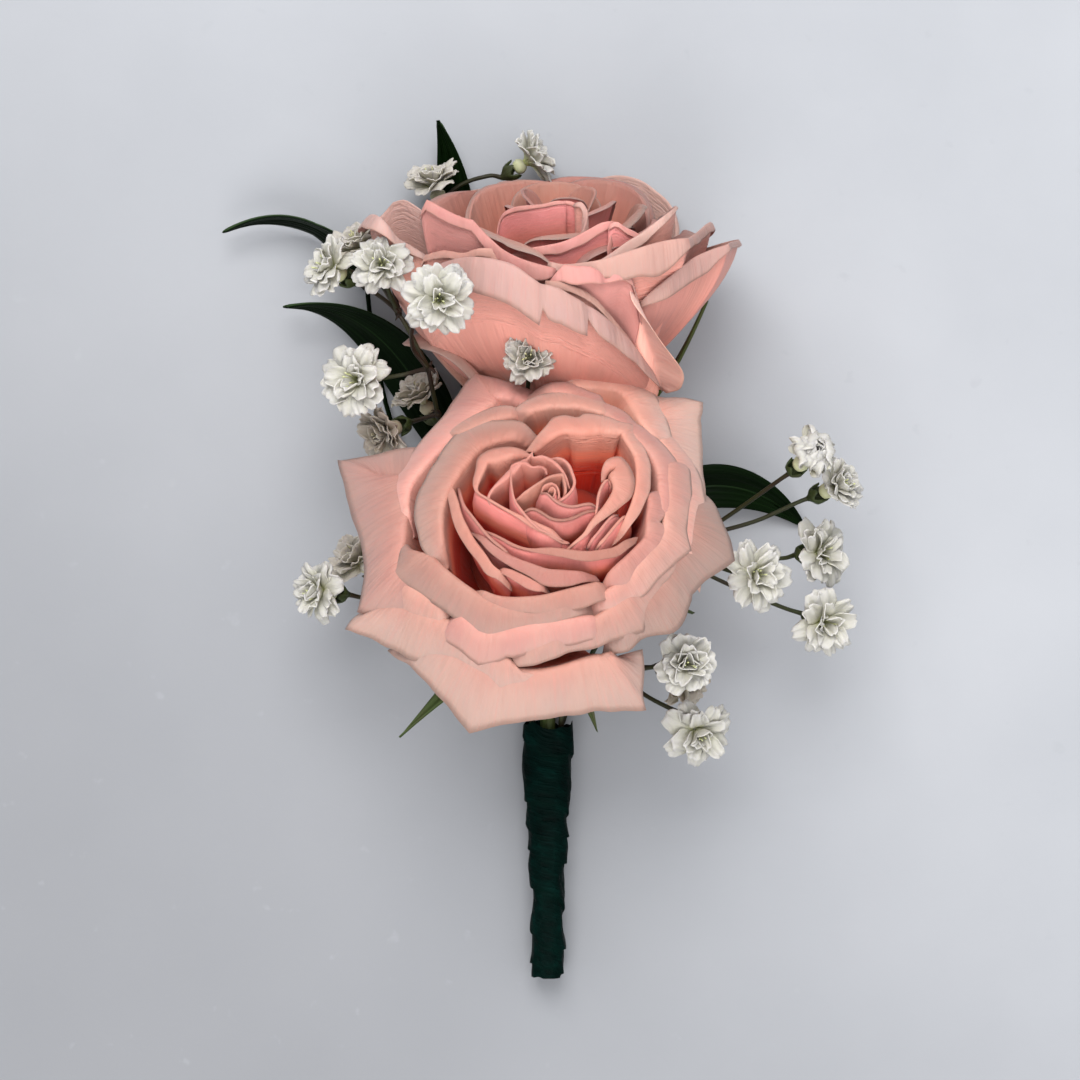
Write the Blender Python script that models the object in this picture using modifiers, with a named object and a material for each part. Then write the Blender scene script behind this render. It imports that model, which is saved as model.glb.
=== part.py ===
"""Boutonniere: two peach garden roses, double baby's breath and ruscus leaves on a taped stem.

It lies on a table. +Y runs from the cut stem ends to the rear rose, and +Z is up.
Lengths in the tables below are millimetres, and MM turns them into metres.
Rose axes: z along the flower's axis from the petal base, azimuth 0 to +X, 90 to the far side.
"""
import math
from collections import namedtuple

import bmesh
import bpy
import numpy as np
from mathutils import Matrix, Vector

MM = 0.001

# Roses: base of the petals, and the tilt of the flower's axis from upright towards +Y.
FRONT_BASE = (1.2, -8.5, 14.0)
FRONT_TILT = 24.0
REAR_BASE = (2.8, 14.2, 8.0)
REAR_TILT = 66.0
PETAL_THICKNESS = 0.7
SEAT_GAP = 0.3
# how far the rear rose's lowest petals are pressed past the table before they are trimmed flat
FLAT_SINK = 0.15

# Taped stem: a sleeve of floral tape round two rose stems, one on the other.
TAPE_X = 1.1
TAPE_MOUTH_Y = -28.0
TAPE_END_Y = -62.7
TAPE_WALL = 0.6
TAPE_WRAPS = 7
TAPE_STEP = 0.14
# (distance from the mouth, half width, height)
TAPE_SECTIONS = ((0.0, 3.42, 7.4), (8.0, 3.3, 7.3), (14.0, 2.75, 7.2), (20.0, 2.35, 7.0),
                 (28.0, 2.2, 6.8), (34.7, 2.1, 6.6))
STEM_LOW_Z = 2.2
STEM_HIGH_Z = 5.1
# how much lower a stem lies at its cut end than at the mouth
STEM_LOW_DROP = 0.2
STEM_HIGH_DROP = 0.4

# Fine stems stand beside the rose stems in the mouth of the sleeve, four a side.
FINE_STEM_R = 0.35
SLOT_X = 1.9
SLOT_Z = (1.95, 3.1, 4.25, 5.4)
SLOT_DEPTH = 8.0

LEAF_THICKNESS = 0.65
CALYX_R = 1.3
CALYX_LENGTH = 2.0

# rim_r and rim_z are the rim's radius and height at the left end, middle and right end.
# belly is the control point (r, z) above the claw, lip how far the crest stands in and up,
# and tips are points of the rim: (size, place from -1 to 1, width).
Petal = namedtuple("Petal", "azimuth half_span rim_r rim_z belly lip tips wave fall power")


def petal(azimuth, half_span, rim_r, rim_z, belly, lip, tips=(), wave=0.35, fall=7.0, power=2.4):
    """One row of a rose's petal plan."""
    return Petal(azimuth, half_span, rim_r, rim_z, belly, lip, tips, wave, fall, power)


FRONT_OUTER = (
    petal(266, 58, (22, 24.5, 20), (12, 19, 17), (15, 4), (6, 9), ((4.4, -.31, .2), (3.0, .55, .18)), .4),
    petal(173, 52, (20, 24.0, 22), (17, 22, 15), (16, 4), (5, 8), ((7.2, -.29, .17), (4.6, .62, .2)), .4),
    petal(348, 50, (18.5, 22.8, 21), (14, 22, 17), (15, 4), (4, 6), ((2.6, .14, .25),), .5),
    petal(42, 40, (21, 23.5, 18), (16, 24, 23), (14, 5), (4, 5), ((5.2, .05, .25),), .4, fall=3),
    petal(238, 48, (21, 23.0, 19), (18, 22.5, 21), (15, 4), (5, 7), ((6.8, -.64, .2), (1.2, .4, .2)), .4),
    petal(134, 48, (19, 21.2, 20), (25, 26, 22), (14, 5), (4, 5), ((3.8, -.42, .22),), .4, fall=3),
    petal(62, 52, (18.5, 22.4, 20), (24, 28, 25), (12.5, 7), (3, 3), fall=2),
    petal(270, 56, (19, 19.6, 19.5), (22, 27, 23), (14, 5), (5, 6), ((3.0, -.43, .22),)),
    petal(344, 52, (18.5, 20.4, 21), (22, 27, 22), (14, 5), (3.5, 4)),
    petal(343, 58, (16.5, 18.9, 20), (23, 28, 23), (13, 5), (3, 4)),
    petal(2, 54, (16.2, 17.9, 17.4), (24, 29, 24), (13, 5), (3, 4)),
    petal(84, 50, (18.0, 19.2, 18), (25, 29.4, 26), (12, 6), (3, 3), fall=3),
    petal(167, 58, (14.2, 17.2, 16), (25, 31, 27), (13, 6), (3, 4)),
    petal(122, 44, (14.5, 16.8, 16.5), (25, 31, 27), (12, 6), (3, 3)),
    petal(292, 50, (17.2, 17.6, 17), (20, 27, 22), (13, 5), (4, 5)),
)
FRONT_INNER = (
    petal(244, 64, (17.5, 18.0, 15.5), (28, 29.5, 28), (13, 6), (5.5, 5.5), ((3.6, -.61, .22),), fall=5),
    petal(332, 54, (15.2, 15.8, 14.3), (28, 30.5, 27), (13, 6), (4.0, 4.5), ((-1.2, .4, .08),)),
    petal(76, 50, (16, 16.8, 15.0), (26, 31.2, 27), (12, 6), (3, 3)),
    petal(136, 56, (10.2, 14.8, 13.6), (29, 33, 30), (12, 7), (3, 3)),
    petal(44, 74, (10.5, 15.2, 8.2), (29, 33, 31), (12, 7), (3, 3)),
    petal(222, 60, (13.0, 12.9, 14.0), (30, 32.2, 28), (11, 8), (2.2, 2), wave=.2),
    petal(237, 68, (13.0, 10.9, 12.8), (31, 33, 30), (9, 8), (2.0, 2), wave=.2),
    petal(252, 88, (12.2, 7.9, 12.4), (32, 33.6, 31), (8, 8), (1.8, 1.8), wave=.2),
    petal(234, 74, (10.2, 5.1, 8.6), (32, 34, 31), (7, 8), (1.5, 1.5), wave=.15),
    petal(352, 60, (6.8, 10.1, 6.0), (31, 33.6, 31), (8, 8), (1.6, 1.5), wave=.2),
    petal(140, 44, (7.4, 10.5, 9.6), (32, 34, 31), (8, 8), (1.4, 1.2), wave=.2),
    petal(150, 50, (6.4, 7.3, 8.0), (32, 34.4, 32), (6, 8), (1.0, 1), wave=.1),
    petal(212, 82, (6.8, 4.7, 6.9), (33, 34.6, 32), (5, 8), (1.0, 1), wave=.1),
    petal(278, 72, (4.0, 3.4, 6.6), (33, 34.8, 32), (5, 8), (.9, 1), wave=.1),
    petal(42, 82, (1.8, 4.3, 5.9), (32, 34.8, 33), (4, 8), (.8, 1), wave=.1),
    petal(95, 104, (2.2, 2.9, 4.4), (32, 35.4, 32), (3, 8), (.5, 1), wave=.1),
)
REAR_OUTER = (
    petal(196, 34, (18, 19.5, 15), (15, 17, 12), (10.5, 6), (3, 3), ((3.0, .03, .25),), .4, fall=4),
    petal(190, 44, (20, 23.0, 20), (27, 31.5, 24), (14, 7), (3, 3), ((1.8, -.1, .35),), .5),
    petal(345, 48, (20, 23.0, 21), (26, 29, 23), (13, 7), (3, 3), ((3.2, .1, .25),), .4),
    petal(50, 48, (21, 22.5, 19.5), (27, 32, 27), (15, 7), (2.5, 2.5), wave=.7),
    petal(100, 56, (21, 22.4, 20), (26, 29.5, 27), (17.2, 7), (1.5, 2.0), wave=.3, fall=5),
    petal(251, 52, (21.5, 22.6, 19.0), (31, 31, 16.5), (10.0, 9), (5.5, 3), power=2.0, fall=3, wave=.5),
    petal(300, 36, (17.5, 20.6, 20.5), (30, 31.5, 17), (9.5, 9), (3, 2), ((1.6, -.1, .25),), power=2.2,
          fall=3, wave=.4),
    petal(150, 46, (18, 19.5, 18), (28, 33, 28), (13, 8), (2.5, 2.5), wave=.6),
    petal(332, 50, (15, 18, 18), (30, 32, 28), (12, 8), (3, 3), ((1.6, .25, .25),)),
    petal(20, 46, (17, 19, 18), (27, 32, 28), (13, 8), (3, 3)),
    petal(75, 50, (17, 18.0, 17), (28, 33.5, 28), (13, 8), (2, 2), wave=.6),
    petal(216, 58, (15.5, 14.8, 18.5), (32, 34, 34), (12, 8), (2.5, 2.5), ((1.5, -.9, .2),), .4),
)
REAR_INNER = (
    petal(318, 50, (14.5, 15, 14), (31, 33.5, 34), (12, 8), (2.5, 2.5)),
    petal(120, 56, (14, 15.5, 14), (30, 34, 30), (11, 9), (2, 2)),
    petal(55, 56, (13, 14.5, 14), (30, 34.5, 30), (11, 9), (2, 2)),
    petal(285, 58, (11.5, 11.6, 12), (32, 34, 35), (10, 9), (2, 2)),
    petal(345, 50, (11, 12, 11), (31, 35, 31), (10, 9), (1.6, 2)),
    petal(225, 70, (7.5, 8.2, 6.0), (32, 36, 32), (8, 9), (.9, 1), wave=.2),
    petal(330, 66, (6.5, 7.6, 8.2), (32, 36, 32), (8, 9), (.9, 1), wave=.2),
    petal(100, 76, (8, 8.8, 7), (32, 35.5, 32), (8, 9), (.9, 1), wave=.2),
    petal(180, 80, (5, 5.6, 4.2), (32, 36.8, 33), (6, 9), (.6, 1), wave=.15),
    petal(20, 80, (4.2, 5.2, 5.6), (32, 36.6, 33), (5, 9), (.6, 1), wave=.15),
    petal(280, 80, (2.6, 3.6, 4.4), (32, 37, 34), (4, 9), (.4, 1), wave=.1),
)
OUTER_GRID = (4, 3)
INNER_GRID = (4, 2)
# Turned profiles (r, z), from the top down: the solid heart of a rose, and its hip.
CORE_PROFILE = ((0, 29.5), (6.5, 28.5), (11.5, 24.5), (13.0, 18.0), (12.5, 12.0), (9.5, 6.0), (3.2, 0.0),
                (0, 0.0))
HIP_PROFILE = ((0, -0.3), (3.2, -0.3), (3.7, -1.6), (3.2, -4.2), (1.8, -6.4), (1.3, -7.2), (0, -7.2))

# Sepals: azimuth, then the centre line's (r, z) points, root to tip.
FRONT_SEPALS = (
    (222, ((2.6, -1.4), (11, -0.8), (20, -1.6), (28, -4.5))),
    (294, ((2.6, -1.4), (8, -2.0), (13, -6.0), (17, -11.0))),
    (6, ((2.6, -1.4), (9, -0.8), (16, -4.0), (21, -10.0))),
    (102, ((2.6, -1.4), (6, -2.2), (9, -5.0), (10, -8.0))),
    (160, ((2.6, -1.4), (9, -1.2), (15, -4.0), (20, -9.0))),
)
REAR_SEPALS = (
    (0, ((2.6, -1.4), (11, 0.0), (16.5, 10), (20.5, 21))),
    (74, ((2.6, -1.4), (7, -1.4), (11, 2), (12.5, 7))),
    (144, ((2.6, -1.4), (8, -1.6), (13, 2), (15, 9))),
    (214, ((2.6, -1.4), (6, -2.0), (9, 0), (11, 3))),
    (286, ((2.6, -1.4), (5, -2.2), (7.5, -1), (9.5, 1.5))),
)
SEPAL_HALF_WIDTH = 2.3

# Stems' routes outside the sleeve, from the flower down to the mouth.
FRONT_STEM = ((1.2, -11.3, 7.7), (1.15, -15, 5.9), (1.1, -21, 5.1))
REAR_STEM = ((2.8, 7.9, 5.9), (2.6, 2.0, 3.6), (1.8, -6.0, 2.3), (1.2, -16.0, 2.2), (1.1, -24.0, 2.2))
STEM_R = 1.25
STEM_END_R = 1.1

# Leaves: name, slot (side, row), petiole points, blade centre line, half width,
# and the blade's roll in degrees at its root, middle and tip.
LEAVES = (
    ("leaf_top", (-1, 0), ((-6.5, -8, 1.9), (-9.8, 12, 1.6), (-11.5, 26, 1.4)),
     ((-12.4, 34, 1.1), (-12.6, 43, 0.8), (-11.2, 51.5, 0.9), (-14.6, 60.0, 6.0)), 3.6, (0, 8, 30)),
    ("leaf_left_middle", (-1, 1), ((-5.5, -14, 3.4), (-9.5, 2, 3.9)),
     ((-12.0, 10, 3.8), (-16.5, 23, 3.0), (-24.0, 35.5, 4.6), (-36.8, 33.4, 5.2)), 4.6, (0, 30, 82)),
    ("leaf_left_upper", (-1, 2), ((-7.5, -14, 3.2), (-15.5, 2, 1.9), (-21.8, 18, 1.2), (-24.2, 30, 1.2)),
     ((-24.8, 36, 2.2), (-26.5, 44, 3.8), (-36.0, 49.5, 4.4), (-45.6, 44.2, 4.0)), 3.8, (40, 80, 84)),
    ("leaf_right", (1, 0), ((6.0, -15, 1.8), (12.0, -2, 2.6)),
     ((17.0, 5, 4.6), (23.0, 9.5, 6.2), (31.5, 8.6, 4.0), (38.2, 2.0, 0.35)), 4.4, (-14, -6, 0)),
)
LEAF_GRID = (2, 9)

# Sprays: name, slot, then stems; a stem is (points, bloom) and starts on an earlier stem.
# A bloom is (name, form, centre, facing).
SPRAYS = (
    ("spray_left", (-1, 3), ((-4.0, -20, 5.6), (-7.0, -10, 7.0), (-11.5, 6, 12.0), (-14.2, 17.5, 18.5),
                             (-15.4, 23.6, 23.6)), (
        (((-15.4, 23.6, 23.6), (-19.4, 31.0, 24.4), (-23.6, 34.6, 22.0)),
         ("bloom_left_1", "half", (-28.9, 37.3, 25.6), (-0.72, 0.4, 0.56))),
        (((-19.4, 31.0, 24.4), (-22.0, 35.4, 15.0)),
         ("bloom_left_2", "half", (-25.7, 41.5, 12.6), (-0.4, 0.8, 0.44))),
        (((-19.4, 31.0, 24.4), (-20.9, 34.6, 25.0)),
         ("bloom_left_3", "open", (-21.4, 37.2, 31.6), (-0.06, 0.1, 0.98))),
        (((-15.4, 23.6, 23.6), (-17.4, 26.4, 26.4), (-16.8, 29.6, 33.0)),
         ("bloom_left_4", "open", (-13.2, 31.6, 42.4), (0.06, -0.12, 0.99))),
        (((-15.4, 23.6, 23.6), (-18.9, 22.8, 22.0), (-22.0, 22.2, 22.6)),
         ("bloom_left_5", "open", (-25.1, 21.8, 27.4), (-0.34, 0.04, 0.94))),
        (((-14.2, 17.5, 18.5), (-16.0, 17.0, 17.6)),
         ("bloom_left_6", "half", (-21.6, 15.0, 19.4), (-0.7, -0.3, 0.64))),
        (((-11.5, 6, 12.0), (-13.6, 13.5, 8.6)),
         ("bloom_left_7", "half", (-16.9, 20.4, 8.8), (-0.4, 0.75, 0.4))),
        (((-19.4, 31.0, 24.4), (-20.6, 37.6, 12.0), (-17.6, 44.6, 5.6), (-16.0, 47.2, 5.2)),
         ("bloom_top_1", "half", (-15.2, 51.0, 7.2), (-0.3, 0.85, 0.4))),
        (((-17.6, 44.6, 5.6), (-12.2, 50.4, 4.7), (-7.6, 52.2, 4.7)),
         ("bloom_top_2", "half", (-1.3, 54.6, 5.2), (0.8, 0.5, 0.16))),
        (((-7.0, -10, 7.0), (-14.5, -10.5, 9.4), (-23.0, -8.6, 13.2)),
         ("bloom_low_left_1", "half", (-30.8, -7.2, 19.0), (-0.8, 0.08, 0.6))),
        (((-14.5, -10.5, 9.4), (-20.5, -6.6, 8.6)),
         ("bloom_low_left_2", "half", (-25.8, -2.6, 10.6), (-0.62, 0.6, 0.5))),
    )),
    ("spray_centre", (1, 3), ((2.6, -22, 7.4), (-3.4, -15, 8.4), (-5.4, -5, 8.4), (-4.6, 4, 13.6),
                              (-2.8, 11, 17.6), (-2.0, 17.0, 21.2)), (
        (((-2.0, 17.0, 21.2), (-1.6, 21.6, 25.6)),
         ("bloom_centre", "half", (-1.4, 24.6, 31.6), (0.0, 0.1, 0.99))),
    )),
    ("spray_right", (1, 2), ((6.0, -19, 4.6), (12.0, -9, 6.4), (18.0, -2, 11.0), (22.0, 0.4, 15.0)), (
        (((22.0, 0.4, 15.0), (28.0, 4.6, 19.0), (32.6, 8.0, 22.6)),
         ("bloom_right_1", "bud", (36.4, 11.2, 28.0), (0.42, 0.4, 0.82))),
        (((22.0, 0.4, 15.0), (30.0, 2.6, 16.2), (35.8, 5.2, 17.6)),
         ("bloom_right_2", "half", (41.2, 7.5, 20.4), (0.76, 0.34, 0.55))),
        (((18.0, -2, 11.0), (26.0, -2.4, 13.4), (33.4, -2.6, 14.2)),
         ("bloom_right_3", "open", (39.3, -1.7, 16.2), (0.66, 0.08, 0.75))),
        (((22.0, 0.4, 15.0), (24.0, -3.2, 20.0)),
         ("bloom_right_4", "open", (29.6, -4.8, 27.0), (0.42, -0.02, 0.9))),
        (((18.0, -2, 11.0), (26.0, -6.0, 12.4), (33.4, -9.2, 14.4)),
         ("bloom_right_5", "open", (39.5, -11.4, 19.6), (0.5, -0.2, 0.84))),
        (((6.0, -19, 4.6), (10.0, -17.8, 12.0), (15.6, -17.6, 20.0)),
         ("bloom_low_right_1", "half", (19.6, -16.6, 32.8), (0.16, 0.02, 0.99))),
        (((10.0, -17.8, 12.0), (14.0, -18.2, 11.4)),
         ("bloom_low_right_2", "half", (20.2, -19.4, 14.2), (0.75, -0.3, 0.5))),
        (((10.0, -17.8, 12.0), (14.6, -21.6, 16.6)),
         ("bloom_low_right_3", "open", (21.8, -26.5, 22.4), (0.32, -0.42, 0.85))),
    )),
)
# Bloom forms: reach of the outer petals, the height of their tips, and the height of the tuft.
BLOOM_FORMS = {"open": (4.9, 2.9, 5.2), "half": (4.2, 4.2, 5.8), "bud": (3.2, 4.6, 6.2)}
BLOOM_CENTRE = 2.8
BLOOM_LOBES = 5


def smooth(t):
    """Ease from 0 to 1."""
    t = np.clip(t, 0.0, 1.0)
    return t * t * (3.0 - 2.0 * t)


def bezier(a, b, c, d, t):
    """Cubic curve from a to d with the controls b and c."""
    s = 1.0 - t
    return s ** 3 * a + 3 * t * s * s * b + 3 * t * t * s * c + t ** 3 * d


def snap_columns(u, columns, tips):
    """Move a grid's inner columns onto a petal's points, so that a coarse grid keeps them."""
    even = np.linspace(-1.0, 1.0, columns + 1)
    places = even.copy()
    for _, place, _ in tips:
        places[1 + np.argmin(np.abs(even[1:-1] - place))] = place
    return np.interp(u, even, places)


def petal_points(row, u, v):
    """Middle surface of a petal in rose axes: u from -1 to 1 across, v from root to rim."""
    across = np.abs(u)
    fall = row.fall * across ** 7
    left = u < 0
    rim_r = row.rim_r[1] + (np.where(left, row.rim_r[0], row.rim_r[2]) - row.rim_r[1]) * across ** 1.6
    rim_z = row.rim_z[1] + (np.where(left, row.rim_z[0], row.rim_z[2]) - row.rim_z[1]) * across ** row.power
    rim_r = rim_r - 0.12 * fall
    rim_z = rim_z - fall
    for size, place, width in row.tips:
        rim_r = rim_r + size * np.exp(-np.abs(u - place) / width)
    ease = 1.0 - 0.35 * across ** 2
    swell = row.belly[0] / row.rim_r[1]
    r = bezier(2.2, swell * rim_r, rim_r - row.lip[0] * ease, rim_r, v)
    z = bezier(0.5, row.belly[1], rim_z + row.lip[1] * ease, rim_z, v)
    phase = row.azimuth * 0.7 + row.half_span
    wave = row.wave * smooth((v - 0.45) / 0.55)
    r = r + wave * (np.sin(3.1 * u + phase) + 0.45 * np.sin(7.3 * u + 1.7 * phase))
    width = 0.34 + 0.66 * smooth(v / 0.62)
    angle = np.radians(row.azimuth + row.half_span * u * width)
    return np.stack([r * np.cos(angle), r * np.sin(angle), z], axis=-1)


def rose_matrix(base, tilt):
    """Rose axes to world, in millimetres."""
    return Matrix.Translation(base) @ Matrix.Rotation(-math.radians(tilt), 4, "X")


def to_world(points, matrix):
    """Apply a matrix to an array of points."""
    m = np.array(matrix)
    return points @ m[:3, :3].T + m[:3, 3]


def lay_on_table(points, half_thickness, sink=0.0):
    """Press what would go through the table back up, leaving a shallow belly that sinks a little."""
    floor = half_thickness - sink
    low = points[:, 2] < floor
    points[low, 2] = floor + 0.1 * (points[low, 2] - floor)
    return points


def add_object(name, mesh):
    """Link a new object to the working collection."""
    obj = bpy.data.objects.new(name, mesh)
    bpy.context.scene.collection.objects.link(obj)
    return obj


def freeze(obj):
    """Apply an object's modifiers."""
    graph = bpy.context.evaluated_depsgraph_get()
    mesh = bpy.data.meshes.new_from_object(obj.evaluated_get(graph))
    obj.modifiers.clear()
    obj.data = mesh
    return obj


def blade(name, grid, shape, thickness):
    """Closed blade: a flat grid bent by shape(u, v), split in triangles and thickened."""
    bm = bmesh.new()
    bmesh.ops.create_grid(bm, x_segments=grid[0], y_segments=grid[1], size=1.0)
    flat = np.array([vert.co[:2] for vert in bm.verts])
    points = shape(flat[:, 0], (flat[:, 1] + 1.0) / 2.0)
    for vert, point in zip(bm.verts, points):
        vert.co = Vector(point) * MM
    bmesh.ops.triangulate(bm, faces=bm.faces, quad_method="SHORT_EDGE")
    mesh = bpy.data.meshes.new(name)
    bm.to_mesh(mesh)
    bm.free()
    obj = add_object(name, mesh)
    skin = obj.modifiers.new("thickness", "SOLIDIFY")
    skin.thickness = thickness * MM
    skin.offset = 0.0
    return freeze(obj)


def turned(name, profile, sides):
    """Solid of revolution about Z from a profile (r, z) that runs down its outer side."""
    mesh = bpy.data.meshes.new(name)
    points = [(r * MM, 0.0, z * MM) for r, z in profile]
    mesh.from_pydata(points, [(i, i + 1) for i in range(len(points) - 1)], [])
    obj = add_object(name, mesh)
    screw = obj.modifiers.new("turn", "SCREW")
    screw.steps = sides
    screw.render_steps = sides
    screw.use_merge_vertices = True
    screw.merge_threshold = 0.00001
    return freeze(obj)


def tube(name, points, radii, sides_level=1):
    """Round stem through points, with a radius at each."""
    curve = bpy.data.curves.new(name, "CURVE")
    curve.dimensions = "3D"
    curve.bevel_depth = MM
    curve.bevel_resolution = sides_level
    curve.use_fill_caps = True
    spline = curve.splines.new("POLY")
    spline.points.add(len(points) - 1)
    for spot, point, radius in zip(spline.points, points, radii):
        spot.co = (*(Vector(point) * MM), 1.0)
        spot.radius = radius
    source = add_object(name, curve)
    graph = bpy.context.evaluated_depsgraph_get()
    mesh = bpy.data.meshes.new_from_object(source.evaluated_get(graph))
    bpy.data.objects.remove(source)
    bm = bmesh.new()
    bm.from_mesh(mesh)
    bmesh.ops.remove_doubles(bm, verts=bm.verts, dist=0.00001)
    bm.to_mesh(mesh)
    bm.free()
    return add_object(name, mesh)


def smooth_route(points, steps=3):
    """Points of a smooth curve through the given ones (Catmull-Rom)."""
    knots = [np.array(p, float) for p in points]
    knots = [2 * knots[0] - knots[1]] + knots + [2 * knots[-1] - knots[-2]]
    route = []
    for a, b, c, d in zip(knots, knots[1:], knots[2:], knots[3:]):
        for step in range(steps):
            t = step / steps
            route.append(0.5 * (2 * b + (c - a) * t + (2 * a - 5 * b + 4 * c - d) * t * t
                                + (3 * b - a - 3 * c + d) * t ** 3))
    route.append(knots[-2])
    return route


def keep_outer_skin(obj):
    """Fill the pockets that a union sealed in and drop loose scraps: only the main skin stays."""
    bm = bmesh.new()
    bm.from_mesh(obj.data)
    islands = []
    left = set(bm.verts)
    while left:
        island = set()
        front = [next(iter(left))]
        while front:
            vert = front.pop()
            if vert in island:
                continue
            island.add(vert)
            front.extend(edge.other_vert(vert) for edge in vert.link_edges)
        left -= island
        islands.append(island)
    main_island = max(islands, key=len)
    bmesh.ops.delete(bm, geom=[vert for vert in bm.verts if vert not in main_island], context="VERTS")
    bm.to_mesh(obj.data)
    bm.free()


def fuse(body, pieces):
    """Join pieces to a body by one union, then remove them."""
    group = bpy.data.collections.new(body.name + "_pieces")
    for piece in pieces:
        group.objects.link(piece)
    union = body.modifiers.new("fuse", "BOOLEAN")
    union.operation = "UNION"
    union.operand_type = "COLLECTION"
    union.collection = group
    union.solver = "EXACT"
    freeze(body)
    for piece in pieces:
        bpy.data.objects.remove(piece)
    bpy.data.collections.remove(group)
    keep_outer_skin(body)
    return body


def cut_at_table(body):
    """Trim a body flat where it meets the table."""
    bm = bmesh.new()
    bmesh.ops.create_cube(bm, size=1.0)
    bmesh.ops.scale(bm, verts=bm.verts, vec=(0.2, 0.2, 0.02))
    bmesh.ops.translate(bm, verts=bm.verts, vec=(0.0, 0.0, -0.01))
    mesh = bpy.data.meshes.new("table")
    bm.to_mesh(mesh)
    bm.free()
    table = add_object("table", mesh)
    cut = body.modifiers.new("table", "BOOLEAN")
    cut.operation = "DIFFERENCE"
    cut.object = table
    cut.solver = "EXACT"
    freeze(body)
    bpy.data.objects.remove(table)
    return body


def principled(name, colour, roughness, metallic=0.0):
    """Plain material of one finish."""
    mat = bpy.data.materials.new(name)
    mat.use_nodes = True
    shader = mat.node_tree.nodes["Principled BSDF"]
    shader.inputs["Base Color"].default_value = (*colour, 1.0)
    shader.inputs["Roughness"].default_value = roughness
    shader.inputs["Metallic"].default_value = metallic
    return mat


def rose_petals(name, base, tilt, outer, inner, on_table):
    """A rose's petals in one body round its heart."""
    matrix = rose_matrix(base, tilt)
    heart = turned(name, CORE_PROFILE, 12)
    heart.data.transform(Matrix.Scale(MM, 4) @ matrix @ Matrix.Scale(1 / MM, 4))
    pieces = []
    for rows, grid in ((outer, OUTER_GRID), (inner, INNER_GRID)):
        for row in rows:
            def shape(u, v, row=row, columns=grid[0]):
                points = to_world(petal_points(row, snap_columns(u, columns, row.tips), v), matrix)
                return lay_on_table(points, PETAL_THICKNESS / 2, FLAT_SINK) if on_table else points
            pieces.append(blade("petal", grid, shape, PETAL_THICKNESS))
    fuse(heart, pieces)
    return cut_at_table(heart) if on_table else heart


def sepal_points(azimuth, line, u, v):
    """Middle surface of a sepal in rose axes: a narrow pointed blade, slightly keeled."""
    knots = [np.array(p, float) for p in line]
    r, z = bezier(*[k[:, None] for k in knots], v[None, :])
    half = SEPAL_HALF_WIDTH * (0.12 + 0.88 * np.sin(np.pi * np.clip(v, 0, 1) ** 0.6)) * (1.0 - 0.5 * v)
    side = u * half
    a = math.radians(azimuth)
    keel = 0.25 * np.abs(u) * half
    return np.stack([r * math.cos(a) - side * math.sin(a), r * math.sin(a) + side * math.cos(a), z + keel],
                    axis=-1)


def rose_green(name, base, tilt, sepals, route, lane):
    """Hip, sepals and stem of a rose in one body, down to the cut end."""
    matrix = rose_matrix(base, tilt)
    hip = turned(name, HIP_PROFILE, 12)
    hip.data.transform(Matrix.Scale(MM, 4) @ matrix @ Matrix.Scale(1 / MM, 4))
    pieces = []
    for azimuth, line in sepals:
        def shape(u, v, azimuth=azimuth, line=line):
            points = to_world(sepal_points(azimuth, line, u, v), matrix)
            return lay_on_table(points, PETAL_THICKNESS / 2)
        pieces.append(blade("sepal", (2, 5), shape, PETAL_THICKNESS))
    neck = matrix @ Vector((0.0, 0.0, -5.0))
    height, drop = lane
    straight = [(TAPE_X, TAPE_MOUTH_Y, height), (TAPE_X, TAPE_MOUTH_Y - 14.0, height),
                (TAPE_X, TAPE_END_Y, height - drop)]
    points = smooth_route([neck, *route], 2) + straight
    radii = [STEM_R] * (len(points) - 1) + [STEM_END_R]
    pieces.append(tube("stem", points, radii))
    return fuse(hip, pieces)


def tape_sleeve(name):
    """Sleeve of wound tape, open at both ends, with its wraps as low helical steps."""
    around, along = 16, 10
    stations, widths, heights = (np.array(column) for column in zip(*TAPE_SECTIONS))
    length = TAPE_MOUTH_Y - TAPE_END_Y
    bm = bmesh.new()
    bmesh.ops.create_grid(bm, x_segments=around, y_segments=along, size=1.0)
    for vert in bm.verts:
        turn = (vert.co.x + 1.0) / 2.0
        down = (vert.co.y + 1.0) / 2.0 * length
        half_w = np.interp(down, stations, widths) - TAPE_WALL
        half_h = np.interp(down, stations, heights) / 2.0 - TAPE_WALL
        angle = 2.0 * math.pi * turn
        step = TAPE_STEP * ((down / length * TAPE_WRAPS + turn) % 1.0)
        c, s = math.cos(angle), math.sin(angle)
        x = math.copysign(abs(c) ** 0.65, c) * half_w + c * (TAPE_WALL + step)
        z = math.copysign(abs(s) ** 0.65, s) * half_h + s * TAPE_WALL
        vert.co = (Vector((TAPE_X + x, TAPE_MOUTH_Y - down, half_h + TAPE_WALL + z))) * MM
    bmesh.ops.remove_doubles(bm, verts=bm.verts, dist=0.00001)
    bmesh.ops.triangulate(bm, faces=bm.faces, quad_method="SHORT_EDGE")
    bmesh.ops.recalc_face_normals(bm, faces=bm.faces)
    mesh = bpy.data.meshes.new(name)
    bm.to_mesh(mesh)
    bm.free()
    obj = add_object(name, mesh)
    wall = obj.modifiers.new("wall", "SOLIDIFY")
    wall.thickness = TAPE_WALL * MM
    wall.offset = -1.0
    return freeze(obj)


def slot_points(slot):
    """Inner end and mouth of a fine stem's place in the sleeve."""
    side, row = slot
    x = TAPE_X + side * SLOT_X
    return [(x, TAPE_MOUTH_Y - SLOT_DEPTH, SLOT_Z[row]), (x, TAPE_MOUTH_Y + 1.2, SLOT_Z[row])]


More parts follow.
